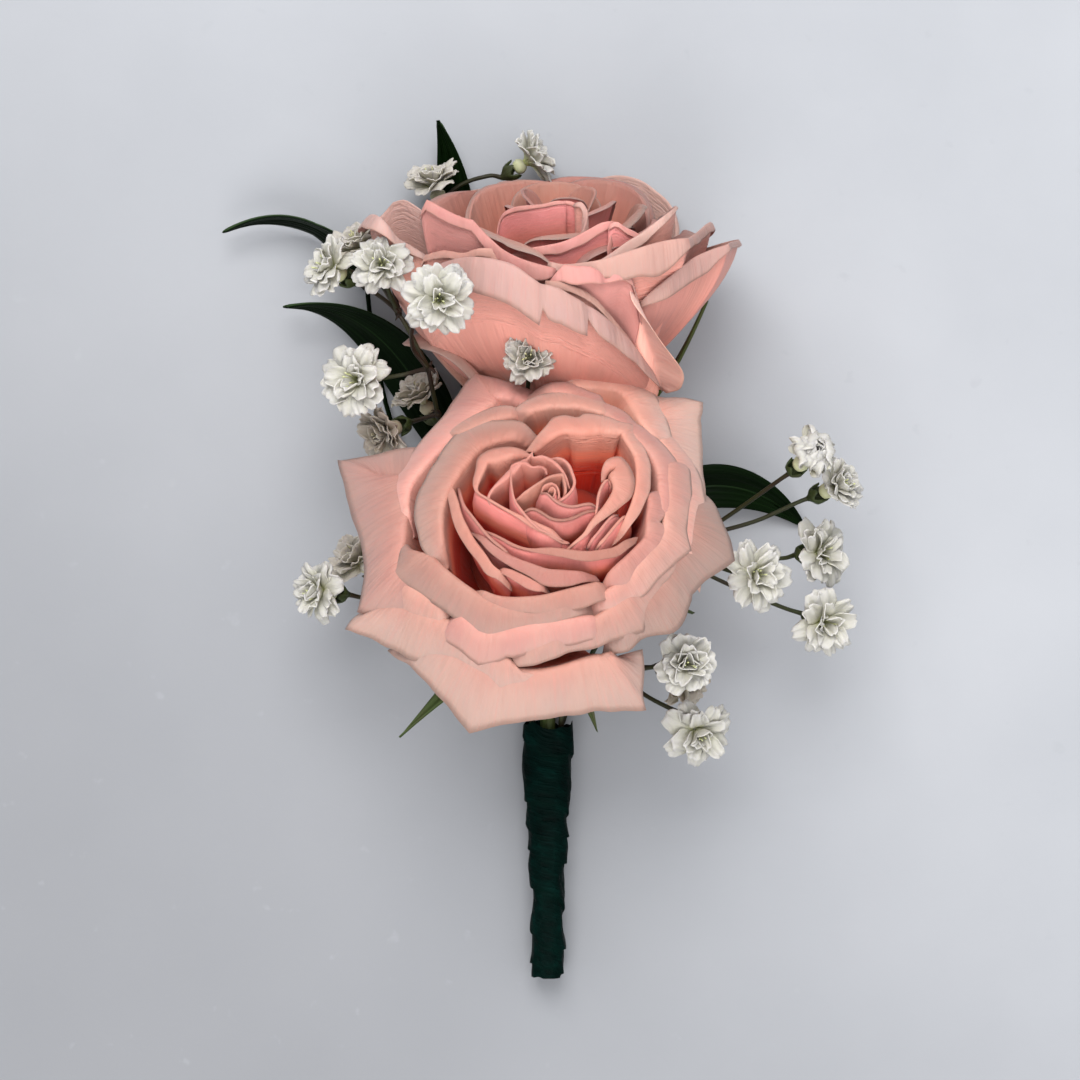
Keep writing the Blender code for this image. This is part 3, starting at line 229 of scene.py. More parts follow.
# Petals of the front rose by their rims: name, lift off the dome, painted light and shade of the wall and
# of the lip, then knots along the rim. A knot is (x, y, lip width[, 1 at a corner]) in rose axes.
# The knots of both roses were picked by eye over the photo, and a scratch script turned them into
# millimetres in rose axes.
FRONT_RIMS = (
    ("bottom guard", -1.53, -1.8, -1.8, (
        (-21.6, -14.4, 2.9), (-19.5, -16.7, 4.7), (-16.4, -20, 6.1), (-13.3, -23.4, 7.1),
        (-10.5, -26.7, 9.3, 1), (-6.5, -26, 6.9), (-3.8, -25.7, 5.2), (-1.2, -25.5, 4.5),
        (1.4, -25.1, 4.6), (4, -24.8, 5.3), (6.7, -24.4, 6.3), (8.7, -24.3, 6.9), (12.8, -23.8, 8.3, 1),
        (12.3, -21.4, 6.1), (12.6, -18.8, 4.4), (12.3, -16.2, 3))),
    ("low left guard", -1.02, -1.6, -1.6, (
        (-24.4, -8, 4.9), (-26.3, -10.4, 5.9), (-27.3, -11.9, 7.1, 1), (-24.1, -13.5, 6.5),
        (-21.1, -15.4, 5.9), (-18.1, -17.3, 5.5), (-14.4, -18.9, 5.1), (-11, -20.9, 5),
        (-8.8, -22.4, 4.9), (-6.6, -23.8, 5.6, 1), (-4.5, -23.3, 4.9), (-2.1, -22.7, 4.3),
        (-1.1, -22.1, 4), (-0.2, -21.5, 3.6, 1), (-0.5, -20.8, 3), (-1.6, -20.2, 2.6),
        (-3.8, -19.4, 2.3))),
    ("left guard", -0.51, -1.5, -1.5, (
        (-13.7, 13.2, 3.9), (-15.7, 12.3, 5.2), (-17.4, 12.1, 6.8), (-20.2, 12.8, 8.2),
        (-23.3, 13, 8.7), (-29, 13.3, 9.4, 1), (-27.9, 9.1, 9.6), (-26.6, 3.6, 8.3), (-25.2, -0.9, 6.9),
        (-24.7, -4.6, 6.1), (-25, -7.5, 5.9), (-25.6, -10, 6.3, 1), (-23.1, -11.1, 5.6),
        (-20.7, -11.4, 5), (-18.3, -12.7, 4.4), (-16.3, -13.9, 3.9), (-15.1, -14.2, 3.5),
        (-14.3, -15.3, 3))),
    ("right guard", -0.85, -3, -3, (
        (6.6, -18.7, 1.6), (8.2, -18, 2.3), (10.3, -17.8, 2.9), (12, -16.4, 3.6), (14, -15.5, 4.3),
        (16.4, -14.6, 4.9), (17.8, -12.9, 5.3), (18.6, -11, 5.4), (19.5, -9, 5.6), (20.8, -7.1, 5.7),
        (23.1, -5.1, 6.5), (24.9, -3.2, 8, 1), (24.4, -0.8, 7), (23.3, 2, 5.9), (22.2, 4.4, 5.4),
        (21.2, 6.4, 4.7), (20.3, 7.3, 3.3))),
    ("top right guard", -1.02, 2, 2, (
        (21.3, 3.7, 3.8), (21, 6.4, 5), (20.8, 9.8, 6.1), (20.9, 14.2, 7.4), (21, 18, 8.5),
        (21.3, 22.2, 9.7, 1), (18.8, 22.6, 7.2), (15.3, 22.1, 5.9), (13.3, 23, 4.6), (11.5, 24, 3.3))),
    ("low left fill", -0.34, 0, 0, (
        (-23.6, -3.5, 1.3), (-22.8, -5.9, 2), (-21.9, -8.4, 2.6), (-20.4, -10.6, 3),
        (-18.6, -12.2, 3.1), (-17, -13.3, 3.1), (-15.2, -13.9, 2.6), (-13.6, -14.1, 1.9),
        (-11.9, -14.1, 1.3))),
    ("right fill", -0.51, 2, 2, (
        (20, -8, 2.6), (20.4, -5.8, 3.2), (20.3, -3.5, 3.5), (20.6, -0.5, 3.7), (21, 2.6, 4),
        (20.7, 6, 4.1), (19.9, 9.2, 4.1), (18.8, 11.7, 4.1), (17.1, 14.3, 4.1), (15.4, 16.8, 4))),
    ("front corner", -0.34, -1, -1, (
        (-7.1, -19.5, 1.4), (-5.8, -19.6, 1.6), (-3.8, -20.1, 2), (-2, -20.2, 2.4), (0.1, -19.6, 2.7),
        (3.4, -18.7, 2.9), (6.4, -18, 2.9), (8.6, -17.1, 3.4), (10.8, -16.2, 4), (12.4, -15.6, 4.5, 1),
        (13.2, -13.2, 4.2), (14.8, -10.5, 3.9), (16.7, -7.7, 3.5), (18.7, -4.4, 3, 1),
        (19.3, -2.5, 2.3))),
    ("top left", -0.34, 2, 2, (
        (-0.5, 21.1, 4), (-3.9, 22, 4.6), (-7.4, 24, 5.4), (-10.6, 25.9, 7.8, 1), (-12.7, 20.6, 6.8),
        (-14.6, 16.6, 5.6), (-16.7, 13.6, 4.9), (-18.7, 10.8, 4.3), (-20.6, 8.4, 3.8),
        (-22.2, 6.6, 3.8), (-22.3, 4.3, 3.3), (-21.5, 1.6, 2.8), (-20.3, -1.3, 2.4), (-19.2, -3.7, 2))),
    ("back outer", 0, 4, 4, (
        (17.5, 9.3, 2.8), (16.8, 11.8, 3.8), (16.3, 15.2, 4.6), (15.5, 19.3, 5), (14.3, 22.2, 4.6),
        (12.6, 24.4, 4.6), (9.8, 25.2, 4.4), (7.1, 25.7, 4.6), (4.3, 24.8, 4.5), (1.5, 23.3, 4.2),
        (-0.5, 21.8, 3))),
    ("front second", 0, -1, -1, (
        (-15.5, -13.8, 2.4), (-14.7, -15.2, 3), (-13.4, -16.5, 3.4), (-11.4, -18, 3.5),
        (-9.3, -19.8, 3.5, 1), (-6.4, -19.6, 3.2), (-3.8, -19.3, 3.2), (-0.6, -18.7, 3.1),
        (2.7, -18.2, 2.9), (6.3, -17.3, 2.7), (9, -16.4, 2.1))),
    ("right second", 0.17, -0.5, -0.5, (
        (4.6, -15.2, 1.7), (7.1, -14.3, 2), (9.5, -13.5, 2.4), (11.8, -12.2, 2.8), (13.8, -10.1, 3.2),
        (15.8, -7.7, 3.5), (17.8, -5.5, 3.6), (18.7, -4.4, 4, 1), (18.2, -2, 3.4), (18.7, 1.1, 3.6),
        (19, 4.3, 3.6), (18.9, 7.1, 3.9), (18.1, 9.9, 3.5), (16.5, 11.2, 3))),
    ("back sliver", 0.17, 0, 0, (
        (-2.8, 15.5, 2.2), (-4.4, 15.2, 2.5), (-5.9, 15.8, 3.1), (-7.9, 15.8, 3.5), (-9.5, 15.2, 3.8),
        (-11.1, 14.4, 3.7), (-12.6, 13.5, 3.2), (-13.8, 12.5, 2.7), (-14.6, 10.8, 1.8))),
    ("back second", 0.17, 0, 0, (
        (15.4, -4.7, 1.7), (15.9, -2.9, 2.3), (17, -0.8, 2.9), (17.6, 1.6, 3.3), (17.8, 4.9, 3.6),
        (17.2, 8.1, 3.6), (15.9, 10.1, 3.5), (14.5, 11.6, 3.4), (13.3, 12.9, 3.5), (11.7, 13.7, 3.2),
        (10.4, 15.5, 3.1), (9, 16.5, 3.3), (7.7, 17, 3.3), (6.9, 18.9, 3.2), (5.6, 19.4, 3.2),
        (4.2, 20.6, 3.4), (2.9, 21.6, 3.5), (-0.5, 21.1, 3.5), (-2.3, 20.3, 2.8), (-3.9, 19.3, 2.2))),
    ("front wide", 0.17, 1, -2.5, (
        (-17.8, -3.7, 1), (-19.3, -2.2, 2.3, 1), (-19.8, -4.7, 3.7), (-20.9, -6.9, 5.3, 1),
        (-18.3, -9.4, 4.4), (-15.6, -11.7, 3.8), (-13, -13.8, 3.6), (-11, -15.5, 4),
        (-9.4, -16.7, 4, 1), (-7.4, -17.3, 3.7), (-4.4, -17.2, 3.1), (-1.2, -16.6, 2.4),
        (2.7, -15.5, 2.2), (5.5, -14.5, 2), (7.4, -13.7, 1.5))),
    ("back third", 0.34, 0, 0, (
        (10.6, 14.6, 1.8), (8.5, 15.7, 2.7), (6.2, 18.1, 4), (4.2, 18.4, 4), (1.5, 18.4, 4),
        (-1.2, 17.5, 3.4), (-3.2, 16.2, 2.7), (-4.4, 14.9, 2.1), (-5.5, 12.7, 1.5))),
    ("left cup", 0.51, 2.5, -1.5, (
        (-0.5, 9.2, 1.4), (-1.9, 10.4, 2.1), (-3.8, 11.7, 3.2), (-6.5, 12.4, 4.2), (-9.5, 12.7, 5.1),
        (-11.9, 11.9, 5.1), (-13.6, 9.8, 5), (-15, 7.5, 4.7), (-16.2, 5.2, 4.4), (-17.5, 2.6, 4.3),
        (-17.8, 0.2, 4.1), (-17.3, -2.9, 3.5), (-16.6, -5.2, 2.9), (-15.3, -7.1, 2.1),
        (-13.7, -9.1, 1.1))),
    ("notched right", 0.34, -1, -1, (
        (7.1, -13.3, 1.3), (7.6, -12.6, 2.2), (8.9, -11.6, 2.5), (10.8, -10.9, 2.8), (11.6, -9.7, 2.8),
        (13.4, -8.6, 3.3), (14.8, -7.1, 3.3), (15.7, -4.8, 3.3), (15.6, -2.8, 3), (14.5, -2.1, 2.1, 1),
        (15.5, -0.5, 2.8), (15.5, 1.1, 2.6), (14.5, 2.4, 2), (13.3, 2.5, 1.4), (12.6, 3.7, 1.1))),
    ("front inner", 0.51, -1.5, -3, (
        (-10.8, -11.1, 0.7), (-9.3, -12.6, 1), (-7.7, -13.8, 1.3), (-5.7, -14.6, 1.6), (-3.1, -15, 1.9),
        (-0.6, -15.2, 2.2), (2.7, -14.7, 2.5), (5.3, -14, 2.5), (7.1, -13.2, 2.3), (9.2, -11.8, 1.6))),
    ("right cup", 0.68, -1, 0.5, (
        (8.1, -5.9, 0.3), (9.5, -4.8, 0.7), (10.8, -3.3, 1.1), (11.9, -1.5, 1.4), (12.7, 0.3, 1.7),
        (13.3, 2.4, 1.9), (13.4, 4.5, 2), (13.3, 6.6, 2), (12.7, 8.5, 2), (11.7, 10.2, 2.1),
        (11.2, 12.7, 2.7), (9.5, 12.7, 3), (7.9, 13.3, 3.4), (6.1, 13.5, 3.8), (4.5, 13.2, 3.9),
        (4, 12.6, 3.5), (2.1, 12.8, 3.7), (0.5, 12.2, 3.3), (-0.5, 10.7, 2.4), (-2, 9, 1.7),
        (-3.2, 7.5, 1))),
    ("i1", 0.51, -2, -2, (
        (-14.4, 4.5, 0.3), (-13.6, 2.1, 1), (-13.1, 0.1, 1.2), (-12.7, -2.2, 1.3), (-11.9, -4.3, 1.4),
        (-10.7, -6.5, 1.3), (-9.4, -8.2, 1.3), (-8.1, -10.1, 1.2), (-6.4, -10.9, 0.9),
        (-4.8, -11.7, 0.4))),
    ("i1b", 0.34, -2, -2, (
        (-7.4, -9.4, 0.3), (-5.7, -10.4, 0.9), (-4, -11.5, 1.2), (-2.5, -12.3, 1.2), (-0.9, -12.5, 0.9),
        (0.4, -12.2, 0.4))),
    ("i2", 0.68, -2.5, -3.5, (
        (-10.3, -3.8, 0.3), (-9.3, -5.5, 0.7), (-7.9, -7.3, 1), (-6.4, -8.6, 1.1), (-4.4, -9.9, 1.3),
        (-2.5, -10.9, 1.6), (-0.6, -11.9, 1.9), (0.9, -12.1, 2), (2.4, -12, 1.9), (4.6, -11.3, 1.2),
        (6.6, -10.5, 0.7))),
    ("i3", 0.8, -3, -3, (
        (-12.1, 2.8, 0.3, 1), (-11.8, 0.8, 0.3), (-11.3, -0.9, 0.3), (-10.3, -2.4, 0.3),
        (-9, -4.3, 0.3), (-7.7, -5.9, 0.3), (-6, -7.4, 0.3), (-4.4, -8.6, 0.2))),
    ("i4", 0.9, -3.5, -3.5, (
        (-9.3, -3.5, 0.2), (-8.1, -4.8, 0.2), (-6.4, -6, 0.3), (-4.4, -7.2, 0.3), (-2.5, -7.8, 0.3),
        (-0.6, -8.2, 0.8), (1.4, -8.5, 1), (3.3, -8.8, 1.1), (5.3, -8.9, 1.2), (7.2, -8.5, 1.2),
        (8.9, -7.9, 1.1), (10.2, -6.8, 1), (11.3, -5.4, 0.9), (11.6, -4.4, 0.3))),
    ("i5", 0.9, 3, 0, (
        (-2.2, 6.3, 0.3), (-3.2, 6.9, 1.1), (-4.9, 7.3, 1.9), (-6.5, 7.4, 2.3), (-8.2, 6.9, 2.3),
        (-9.4, 6, 1.8), (-9.7, 4.1, 1.3), (-10, 2.2, 0.8), (-9.7, 1, 0.3), (-8.2, -0.4, 0.3),
        (-6.4, -1.8, 0.3), (-4.4, -3.2, 0.4), (-2.9, -4.4, 0.8), (-1.2, -5.4, 0.9), (0.4, -6.1, 0.9),
        (1.6, -6.5, 0.4), (2.7, -6.4, 0.3))),
    ("i6", 0.9, 0, 0, (
        (-2.1, 5.8, 0.3), (-3.4, 5.1, 0.4), (-4.7, 4.2, 0.9), (-6, 2.8, 0.8), (-7.1, 1.6, 0.4),
        (-7.9, 0.5, 0.3), (-8.1, -0.4, 0.2), (-7.3, -1.5, 0.2))),
    ("i14", 0.9, 4, -0.5, (
        (1.6, -7.7, 0.2), (2.9, -7, 0.3), (4.2, -6.2, 0.3), (5, -5.5, 0.3), (5.5, -4.9, 0.8),
        (6.1, -4.2, 0.9), (7.2, -3.3, 1.1), (8.4, -2.2, 1.5), (9.5, -1.1, 1.9), (10.6, 0.1, 2.5),
        (11.1, 1.4, 3), (11.3, 2.7, 3.3), (10.9, 4.2, 3.3), (10.2, 5.5, 3.1), (9.5, 6.2, 2.7),
        (8.4, 6, 2.1), (7.5, 5.4, 1.5), (6.9, 4.2, 0.9), (6.8, 2.5, 0.3))),
    ("i15", 0.8, -1, -1, (
        (4.9, -7.1, 0.3), (5.8, -6.1, 0.3), (6.8, -4.8, 0.3), (7.9, -3.3, 0.3), (9.2, -1.8, 0.2))),
    ("i16", 0.8, -1, -1, (
        (5.8, -7.2, 0.2), (6.8, -6.5, 0.3), (8, -5, 0.3), (9.2, -3.4, 0.3), (10.5, -1.7, 0.2))),
    ("i7", 1.1, -1, -1, (
        (-0.2, 2.8, 0.2), (-0.4, 3.7, 0.3), (-1.2, 4, 0.3), (-2.1, 3.8, 0.3), (-3, 4.6, 0.4),
        (-4.1, 4.7, 0.3), (-4.9, 4.3, 0.3), (-5.1, 2.6, 0.2), (-5, 0.7, 0.2), (-4.6, -1.1, 0.2),
        (-3.7, -2.7, 0.3), (-2.5, -4.2, 0.3), (-1.2, -5.3, 0.3), (0.4, -5.9, 0.3), (1.8, -6.3, 0.2))),
    ("i8a", 1.2, -1, -1, (
        (2.8, 0.7, 0.2), (2.4, 1.9, 0.3), (1.8, 3.2, 0.3), (1, 4.3, 0.4), (0, 5.1, 0.4),
        (-1.2, 5.5, 0.3), (-2, 5.3, 0.3), (-2.1, 6.3, 0.3, 1), (-2.6, 5.7, 0.3), (-3.6, 4.8, 0.2))),
    ("i8b", 1.2, -1, -1, (
        (0.4, -1.6, 0.2), (1.4, -1.5, 0.3), (2.4, -0.8, 0.3), (3.2, 0.3, 0.3), (3.5, 1.4, 0.3),
        (3.2, 2.7, 0.3), (2.7, 4.1, 0.3), (1.9, 5, 0.3), (0.9, 5.3, 0.3), (-0.2, 5.3, 0.2))),
    ("i9", 1.3, -2, -2, (
        (1.8, -1.1, 0.2), (2.3, -0.1, 0.3), (2.2, 1.1, 0.3), (1.9, 2.6, 0.3, 1), (1.1, 2.5, 0.3),
        (0.1, 2.2, 0.3), (-1.2, 1.4, 0.3), (-2.5, 0.5, 0.3), (-3.8, -0.4, 0.3), (-4.7, -0.9, 0.2))),
    ("i12", 1.1, -5, -5, (
        (-3.8, -3.2, 0.2), (-2.9, -2.6, 0.3), (-2, -2.6, 0.3), (-0.9, -3.2, 0.3), (0.2, -3.9, 0.3),
        (1.4, -4.1, 0.3), (2.9, -3.8, 0.3), (4.6, -2.9, 0.3), (6.2, -2.1, 0.2), (6.6, -1.4, 0.2))),
    ("i13", 1, -1, -1, (
        (5.9, -3.5, 0.1), (6.3, -2, 0.2), (6.6, -0.1, 0.3), (7.2, 1.6, 0.3), (7.7, 2.4, 0.3, 1),
        (8.1, 1.4, 0.2))),
    ("i10b", 1.4, -4, -4, (
        (-1.1, 0.3, 0.1), (-1.1, -0.3, 0.1), (-0.4, -0.6, 0.2), (0.1, -1.1, 0.2), (0.9, -1.8, 0.3),
        (1.8, -2.2, 0.3), (3.3, -2.3, 0.3), (4.6, -1.9, 0.3), (5.9, -1.6, 0.3, 1), (6.3, -2, 0.1))),
    ("i10", 1.5, 0, 0, (
        (0.9, -1.4, 0.1), (1.3, -1, 0.1), (1.3, 0, 0.2), (0.9, 0.7, 0.2), (0.2, 1, 0.2),
        (-0.4, 0.8, 0.2), (-0.9, 0.4, 0.1), (-1.1, -0.4, 0.1))),
    ("i11", 1.6, 0, 0, (
        (0.2, -1.2, 0.1), (0.7, -0.9, 0.1), (0.9, -0.2, 0.1), (0.5, 0.3, 0.1), (0, 0.1, 0.1),
        (-0.3, -0.4, 0.1))),
    ("under fill", -1.7, -3, -3, (
        (-3.8, -22.3, 1.6), (-1.2, -23.1, 2), (1.4, -23.2, 2.4), (4.7, -22.5, 2.8), (7.4, -21.2, 2.9),
        (9.5, -19.7, 2.5), (10.9, -18.5, 1.9))),
)

# Petals of the rear rose by the fold at their top: name, swell of the wall, warmth outside, painted light
# and shade of the wall and of the lip, then knots along the fold. A knot is (x, y, z, lip width, lip drop[,
# 1 at a corner]) in rose axes.
REAR_RIMS = (
    ("big front", 0.45, 0.85, -1, -3, (
        (-19.8, -8.4, 22.4, 1, 1), (-18.5, -11.9, 27.5, 1.2, 1.6), (-16.5, -14.6, 30.9, 1.4, 2.4),
        (-13.7, -17.2, 32.8, 1.5, 3.2, 1), (-11.4, -18.8, 33.6, 1.5, 4), (-8.7, -20.2, 33.8, 1.6, 4.6),
        (-6.2, -21.1, 33.3, 1.7, 4.8), (-4.1, -21.7, 31.9, 1.7, 4.9), (-2.9, -22, 31.1, 1.7, 5, 1),
        (-2.5, -21.7, 30.8, 1, 2.8, 1), (-1.7, -21.8, 30.7, 1.5, 3.9), (-0.2, -21.8, 30.2, 1.5, 4.2),
        (1.3, -21.6, 29.2, 1.5, 4.2), (2.8, -21.1, 28.1, 1.4, 4.1, 1), (3.2, -20.6, 27.6, 0.8, 1.6, 1),
        (4, -20.4, 27.1, 1.2, 2.5), (5.5, -19.8, 25.8, 1.2, 2.9), (7.2, -18.6, 23.8, 1.2, 2.9),
        (9.3, -17.1, 21.1, 1.2, 2.6), (11, -15.5, 18.2, 1.1, 2.2), (12.5, -13.7, 15.3, 1, 1.5),
        (13.2, -12.2, 13, 0.8, 0.8))),
    ("front line", 0.45, 0.3, -3, -2.5, (
        (-2.1, -20.5, 31.1, 0.5, 0.6), (-0.4, -20.6, 31, 0.6, 0.8), (1.7, -20.3, 30.2, 0.6, 0.8),
        (3.8, -19.8, 28.8, 0.6, 0.8), (5.9, -19.1, 26.4, 0.6, 0.8), (7.8, -18, 23.7, 0.5, 0.7),
        (9.6, -16.4, 20.7, 0.4, 0.5), (10.8, -15.2, 18.2, 0.3, 0.4))),
    ("ruffled", 0.5, 0.1, -6.3, -1, (
        (-1.7, -19.7, 30.4, 0.5, 0.5), (-0.4, -19.8, 32.1, 0.9, 1), (0.4, -19.8, 32.9, 1.1, 1.8, 1),
        (2.1, -19.9, 32.7, 1.2, 2), (3.8, -19.6, 32.5, 1.2, 1.8), (5, -19.4, 31.8, 0.9, 1.2, 1),
        (5.8, -18.9, 31, 0.6, 0.6), (6.9, -18.8, 31.6, 0.8, 1), (8.2, -18.4, 31.8, 0.9, 1.2),
        (9.3, -18.2, 30.8, 0.6, 1, 1), (10, -17.5, 27.7, 0.4, 0.6), (10.6, -16.7, 24, 0.3, 0.4))),
    ("wedge", 0.5, 0.95, 4, 4, (
        (8.9, -16.5, 31.3, 0.3, 0.2), (9.4, -16.5, 30.3, 0.8, 0.2, 1), (10.1, -16.8, 27.6, 2.2, 0.4),
        (10.8, -16.6, 24.2, 3.2, 0.6), (11.7, -15.8, 20.3, 4.5, 0.8), (12.6, -14.5, 17.4, 4.7, 0.8),
        (13, -13.7, 15.3, 4, 0.7), (13.4, -12.8, 13.5, 2.6, 0.6), (13.5, -12.2, 12.4, 1, 0.4))),
    ("right tip", 0.36, 0.7, -4, -4, (
        (10.6, -16.5, 26.6, 0.4, 0.6), (11.9, -16.4, 27.8, 0.6, 1.2), (13.8, -15.8, 29.2, 0.8, 1.9),
        (16, -14.5, 30.6, 0.9, 2.4), (17.9, -13.1, 31.6, 1, 2.6), (20, -11.8, 32.2, 0.9, 2.2),
        (22.5, -11.8, 33.2, 0.4, 0.7, 1), (22.2, 9.7, 25.8, 0.4, 0.5), (20, 10.6, 24.9, 0.3, 0.4))),
    ("right back", 0.5, 0.5, -0.5, -1, (
        (-1.7, -17.9, 32.9, 0.4, 0.5), (0.3, -18.4, 32.6, 0.6, 1), (2.8, -18.6, 32.8, 0.8, 1.6),
        (5.2, -18.5, 33.1, 1, 2.2), (7.8, -18.2, 33.7, 1.1, 2.8), (10.5, -17.7, 34.5, 1.2, 3.6),
        (12.6, -16.8, 34.9, 1.2, 3.8), (14.8, -15.8, 35.1, 1, 2.8), (16.8, -15.1, 35.1, 0.6, 1.2, 1),
        (19.6, 11.7, 24.5, 0.3, 0.4), (18.9, 11.3, 23.5, 0.2, 0.3))),
    ("left long", 0.5, 0, -6, -2, (
        (-18.7, -13.4, 38.1, 0.4, 0.5), (-17.8, -13.9, 40, 0.5, 1, 1), (-16.4, -14.4, 39.4, 0.6, 1.2),
        (-14.8, -14.9, 38.7, 0.6, 1.2), (-13.3, -15.5, 38.2, 0.6, 1.2), (-11.7, -16, 37.9, 0.6, 1.2, 1),
        (-10.6, -16.2, 36.6, 0.6, 1.4), (-9.3, -16.8, 35.4, 0.7, 1.6), (-8, -17.5, 34.4, 0.7, 1.8),
        (-6, -18.2, 33.5, 0.8, 2), (-4, -18.6, 32.9, 0.8, 2), (-2.1, -18.7, 32.4, 0.7, 1.6),
        (-0.7, -18.6, 32.1, 0.4, 0.8))),
    ("left mid", 0.5, 0.2, -2.5, -1, (
        (-19, -11.9, 29.9, 0.4, 0.5), (-18.1, -12.8, 32, 0.5, 0.7, 1), (-15.5, -15, 33.3, 0.5, 0.8),
        (-12.8, -16.7, 33.5, 0.5, 0.7), (-10.8, -17.8, 34.5, 0.5, 0.9), (-9.2, -18.2, 34.6, 0.5, 1, 1),
        (-8.4, -18.6, 33.1, 0.4, 0.8), (-7.3, -18.8, 32.3, 0.3, 0.5))),
    ("far left", 0.55, 0.95, -3, -2, (
        (-18.4, 4.6, 31.9, 0.4, 0.4), (-20.3, 5.5, 32.9, 0.5, 0.5), (-22, 6.8, 33.3, 0.6, 0.5),
        (-23.4, 7.5, 32.7, 0.8, 0.6, 1), (-24.4, 7.6, 31.4, 1, 0.8), (-23.3, -10.7, 35.3, 1.2, 1.2),
        (-22.1, -10.3, 33.5, 1, 1), (-20.1, -10.1, 32.2, 0.8, 0.7), (-17.7, -10.4, 30.8, 0.5, 0.4))),
    ("back left", 0.55, 0.95, -4.5, -2.5, (
        (-2.1, 21.5, 31, 0.4, 0.5), (-4.5, 21.5, 30.5, 0.6, 0.8), (-7.1, 20.8, 30.1, 0.6, 0.8),
        (-9.7, 19.5, 31, 0.7, 1), (-12.5, 17.2, 31.4, 0.7, 1), (-14.9, 14.1, 31.5, 0.6, 0.8),
        (-16.9, 9.7, 31.4, 0.5, 0.5))),
    ("back middle", 0.55, 0.95, -3.5, -2, (
        (8.9, 14.5, 27.4, 0.3, 0.4), (7.5, 17, 28.6, 0.5, 0.8), (5.6, 19.2, 29.7, 0.6, 0.9),
        (3, 20.8, 30.6, 0.6, 0.9), (0.4, 21.6, 30.6, 0.6, 0.9), (-1.6, 21.7, 31.3, 0.7, 1),
        (-4.2, 21, 31, 0.6, 0.8), (-6.8, 19.4, 30.4, 0.4, 0.5))),
    ("back right", 0.6, 1, -1, 0, (
        (16.2, 13.3, 24.6, 0.3, 0.5), (16.6, 13.8, 26.8, 0.5, 0.8), (16.4, 14.7, 28.6, 0.7, 1),
        (15.4, 16, 30.1, 0.9, 1.2), (13.8, 17.6, 31.1, 1, 1.4), (11.9, 19.2, 32.1, 1, 1.6),
        (9.7, 20.6, 32.4, 1, 1.6), (7.5, 22, 32, 0.9, 1.4), (5.3, 22.8, 31.2, 0.8, 1.2),
        (3.3, 23, 30.3, 0.7, 1), (1.6, 22.5, 29.7, 0.5, 0.6))),
    ("bud", 0.75, 0, -4, -1, (
        (-8.7, -6.8, 31.9, 0.2, 0.2), (-8.5, -6.3, 34, 0.2, 0.3), (-7.8, -6.2, 35.7, 0.2, 0.4),
        (-6.3, -6.7, 36.7, 0.2, 0.5), (-4.4, -7.6, 37.3, 0.2, 0.5), (-2.4, -8.3, 37.7, 0.2, 0.4),
        (-0.4, -8.8, 38.3, 0.2, 0.4), (0.7, -9, 38.3, 0.2, 0.3))),
    ("bud right", 0.75, 0, -4, -1, (
        (-1.2, -7.7, 37.3, 0.1, 0.2), (0.3, -8.2, 38.1, 0.2, 0.3), (1.7, -8.4, 38, 0.2, 0.4),
        (2.6, -8.8, 37.4, 0.2, 0.4), (2.9, -9.4, 35.9, 0.2, 0.3), (2.6, -9.7, 33.7, 0.2, 0.2))),
    ("bud strip", 0.75, 0.8, -2, -1, (
        (1.8, -9, 38, 0.3, 0.3), (2.7, -9.4, 38.3, 0.5, 0.5), (3.5, -9.8, 37.3, 0.7, 0.6),
        (3.4, -10.3, 35.6, 0.7, 0.6), (2.7, -10.7, 34.1, 0.4, 0.4))),
    ("bud front", 0.6, 0, -3.5, 0, (
        (-6.6, -12.8, 32.2, 0.3, 0.4), (-4.8, -13.4, 33, 0.4, 0.8), (-2.1, -13.8, 33.6, 0.5, 1.1),
        (0, -13.8, 34, 0.5, 1.2), (2, -13.7, 34.8, 0.5, 1.2), (3.9, -13.4, 35.8, 0.5, 1.2),
        (5.5, -13.1, 36.6, 0.5, 1), (7, -12.8, 36.8, 0.3, 0.5, 1), (6.7, -13.6, 35.1, 0.2, 0.3),
        (6.2, -14.1, 33, 0.2, 0.2))),
    ("bud side", 0.6, 0.1, -3.5, 0, (
        (6.3, -13.8, 36.2, 0.2, 0.2), (7.1, -13.7, 37, 0.4, 0.4), (8.7, -13.2, 36, 0.5, 0.6),
        (10.3, -12.7, 35, 0.4, 0.6), (11.2, -12.8, 34.2, 0.2, 0.3))),
    ("right inner", 0.55, 0.8, -2.5, -0.5, (
        (3.9, -16.6, 31.8, 0.3, 0.4), (5.3, -16.1, 32.4, 0.5, 0.9), (7.1, -15.8, 33.5, 0.6, 1.2),
        (8.8, -15.2, 34.6, 0.7, 1.3), (10.7, -14.7, 35.6, 0.7, 1.3), (12, -14.5, 36.6, 0.6, 1),
        (13.9, 13, 28.7, 0.3, 0.4, 1), (14.9, 13.1, 28.7, 0.2, 0.3))),
    ("back inner", 0.65, 0.7, -4.5, -1.5, (
        (0.1, 15.8, 31.3, 0.4, 0.5), (-2.8, 15.8, 31.3, 0.5, 0.6), (-5.7, 15.2, 30.9, 0.5, 0.6),
        (-8.5, 14, 31.4, 0.5, 0.6), (-10.6, 12, 31.4, 0.5, 0.6), (-12.1, 9.2, 30.7, 0.4, 0.6),
        (-12.6, 6, 29.1, 0.4, 0.4))),
    ("back inner right", 0.65, 0.7, -4, -1, (
        (8.4, 14.1, 25.2, 0.3, 0.4), (9.1, 13.4, 27.2, 0.4, 0.6), (8.3, 13.4, 28.7, 0.5, 0.8),
        (6.6, 13.9, 29.5, 0.4, 0.7), (4.3, 14.4, 30.2, 0.4, 0.6), (2.2, 14.4, 31.1, 0.3, 0.4))),
)
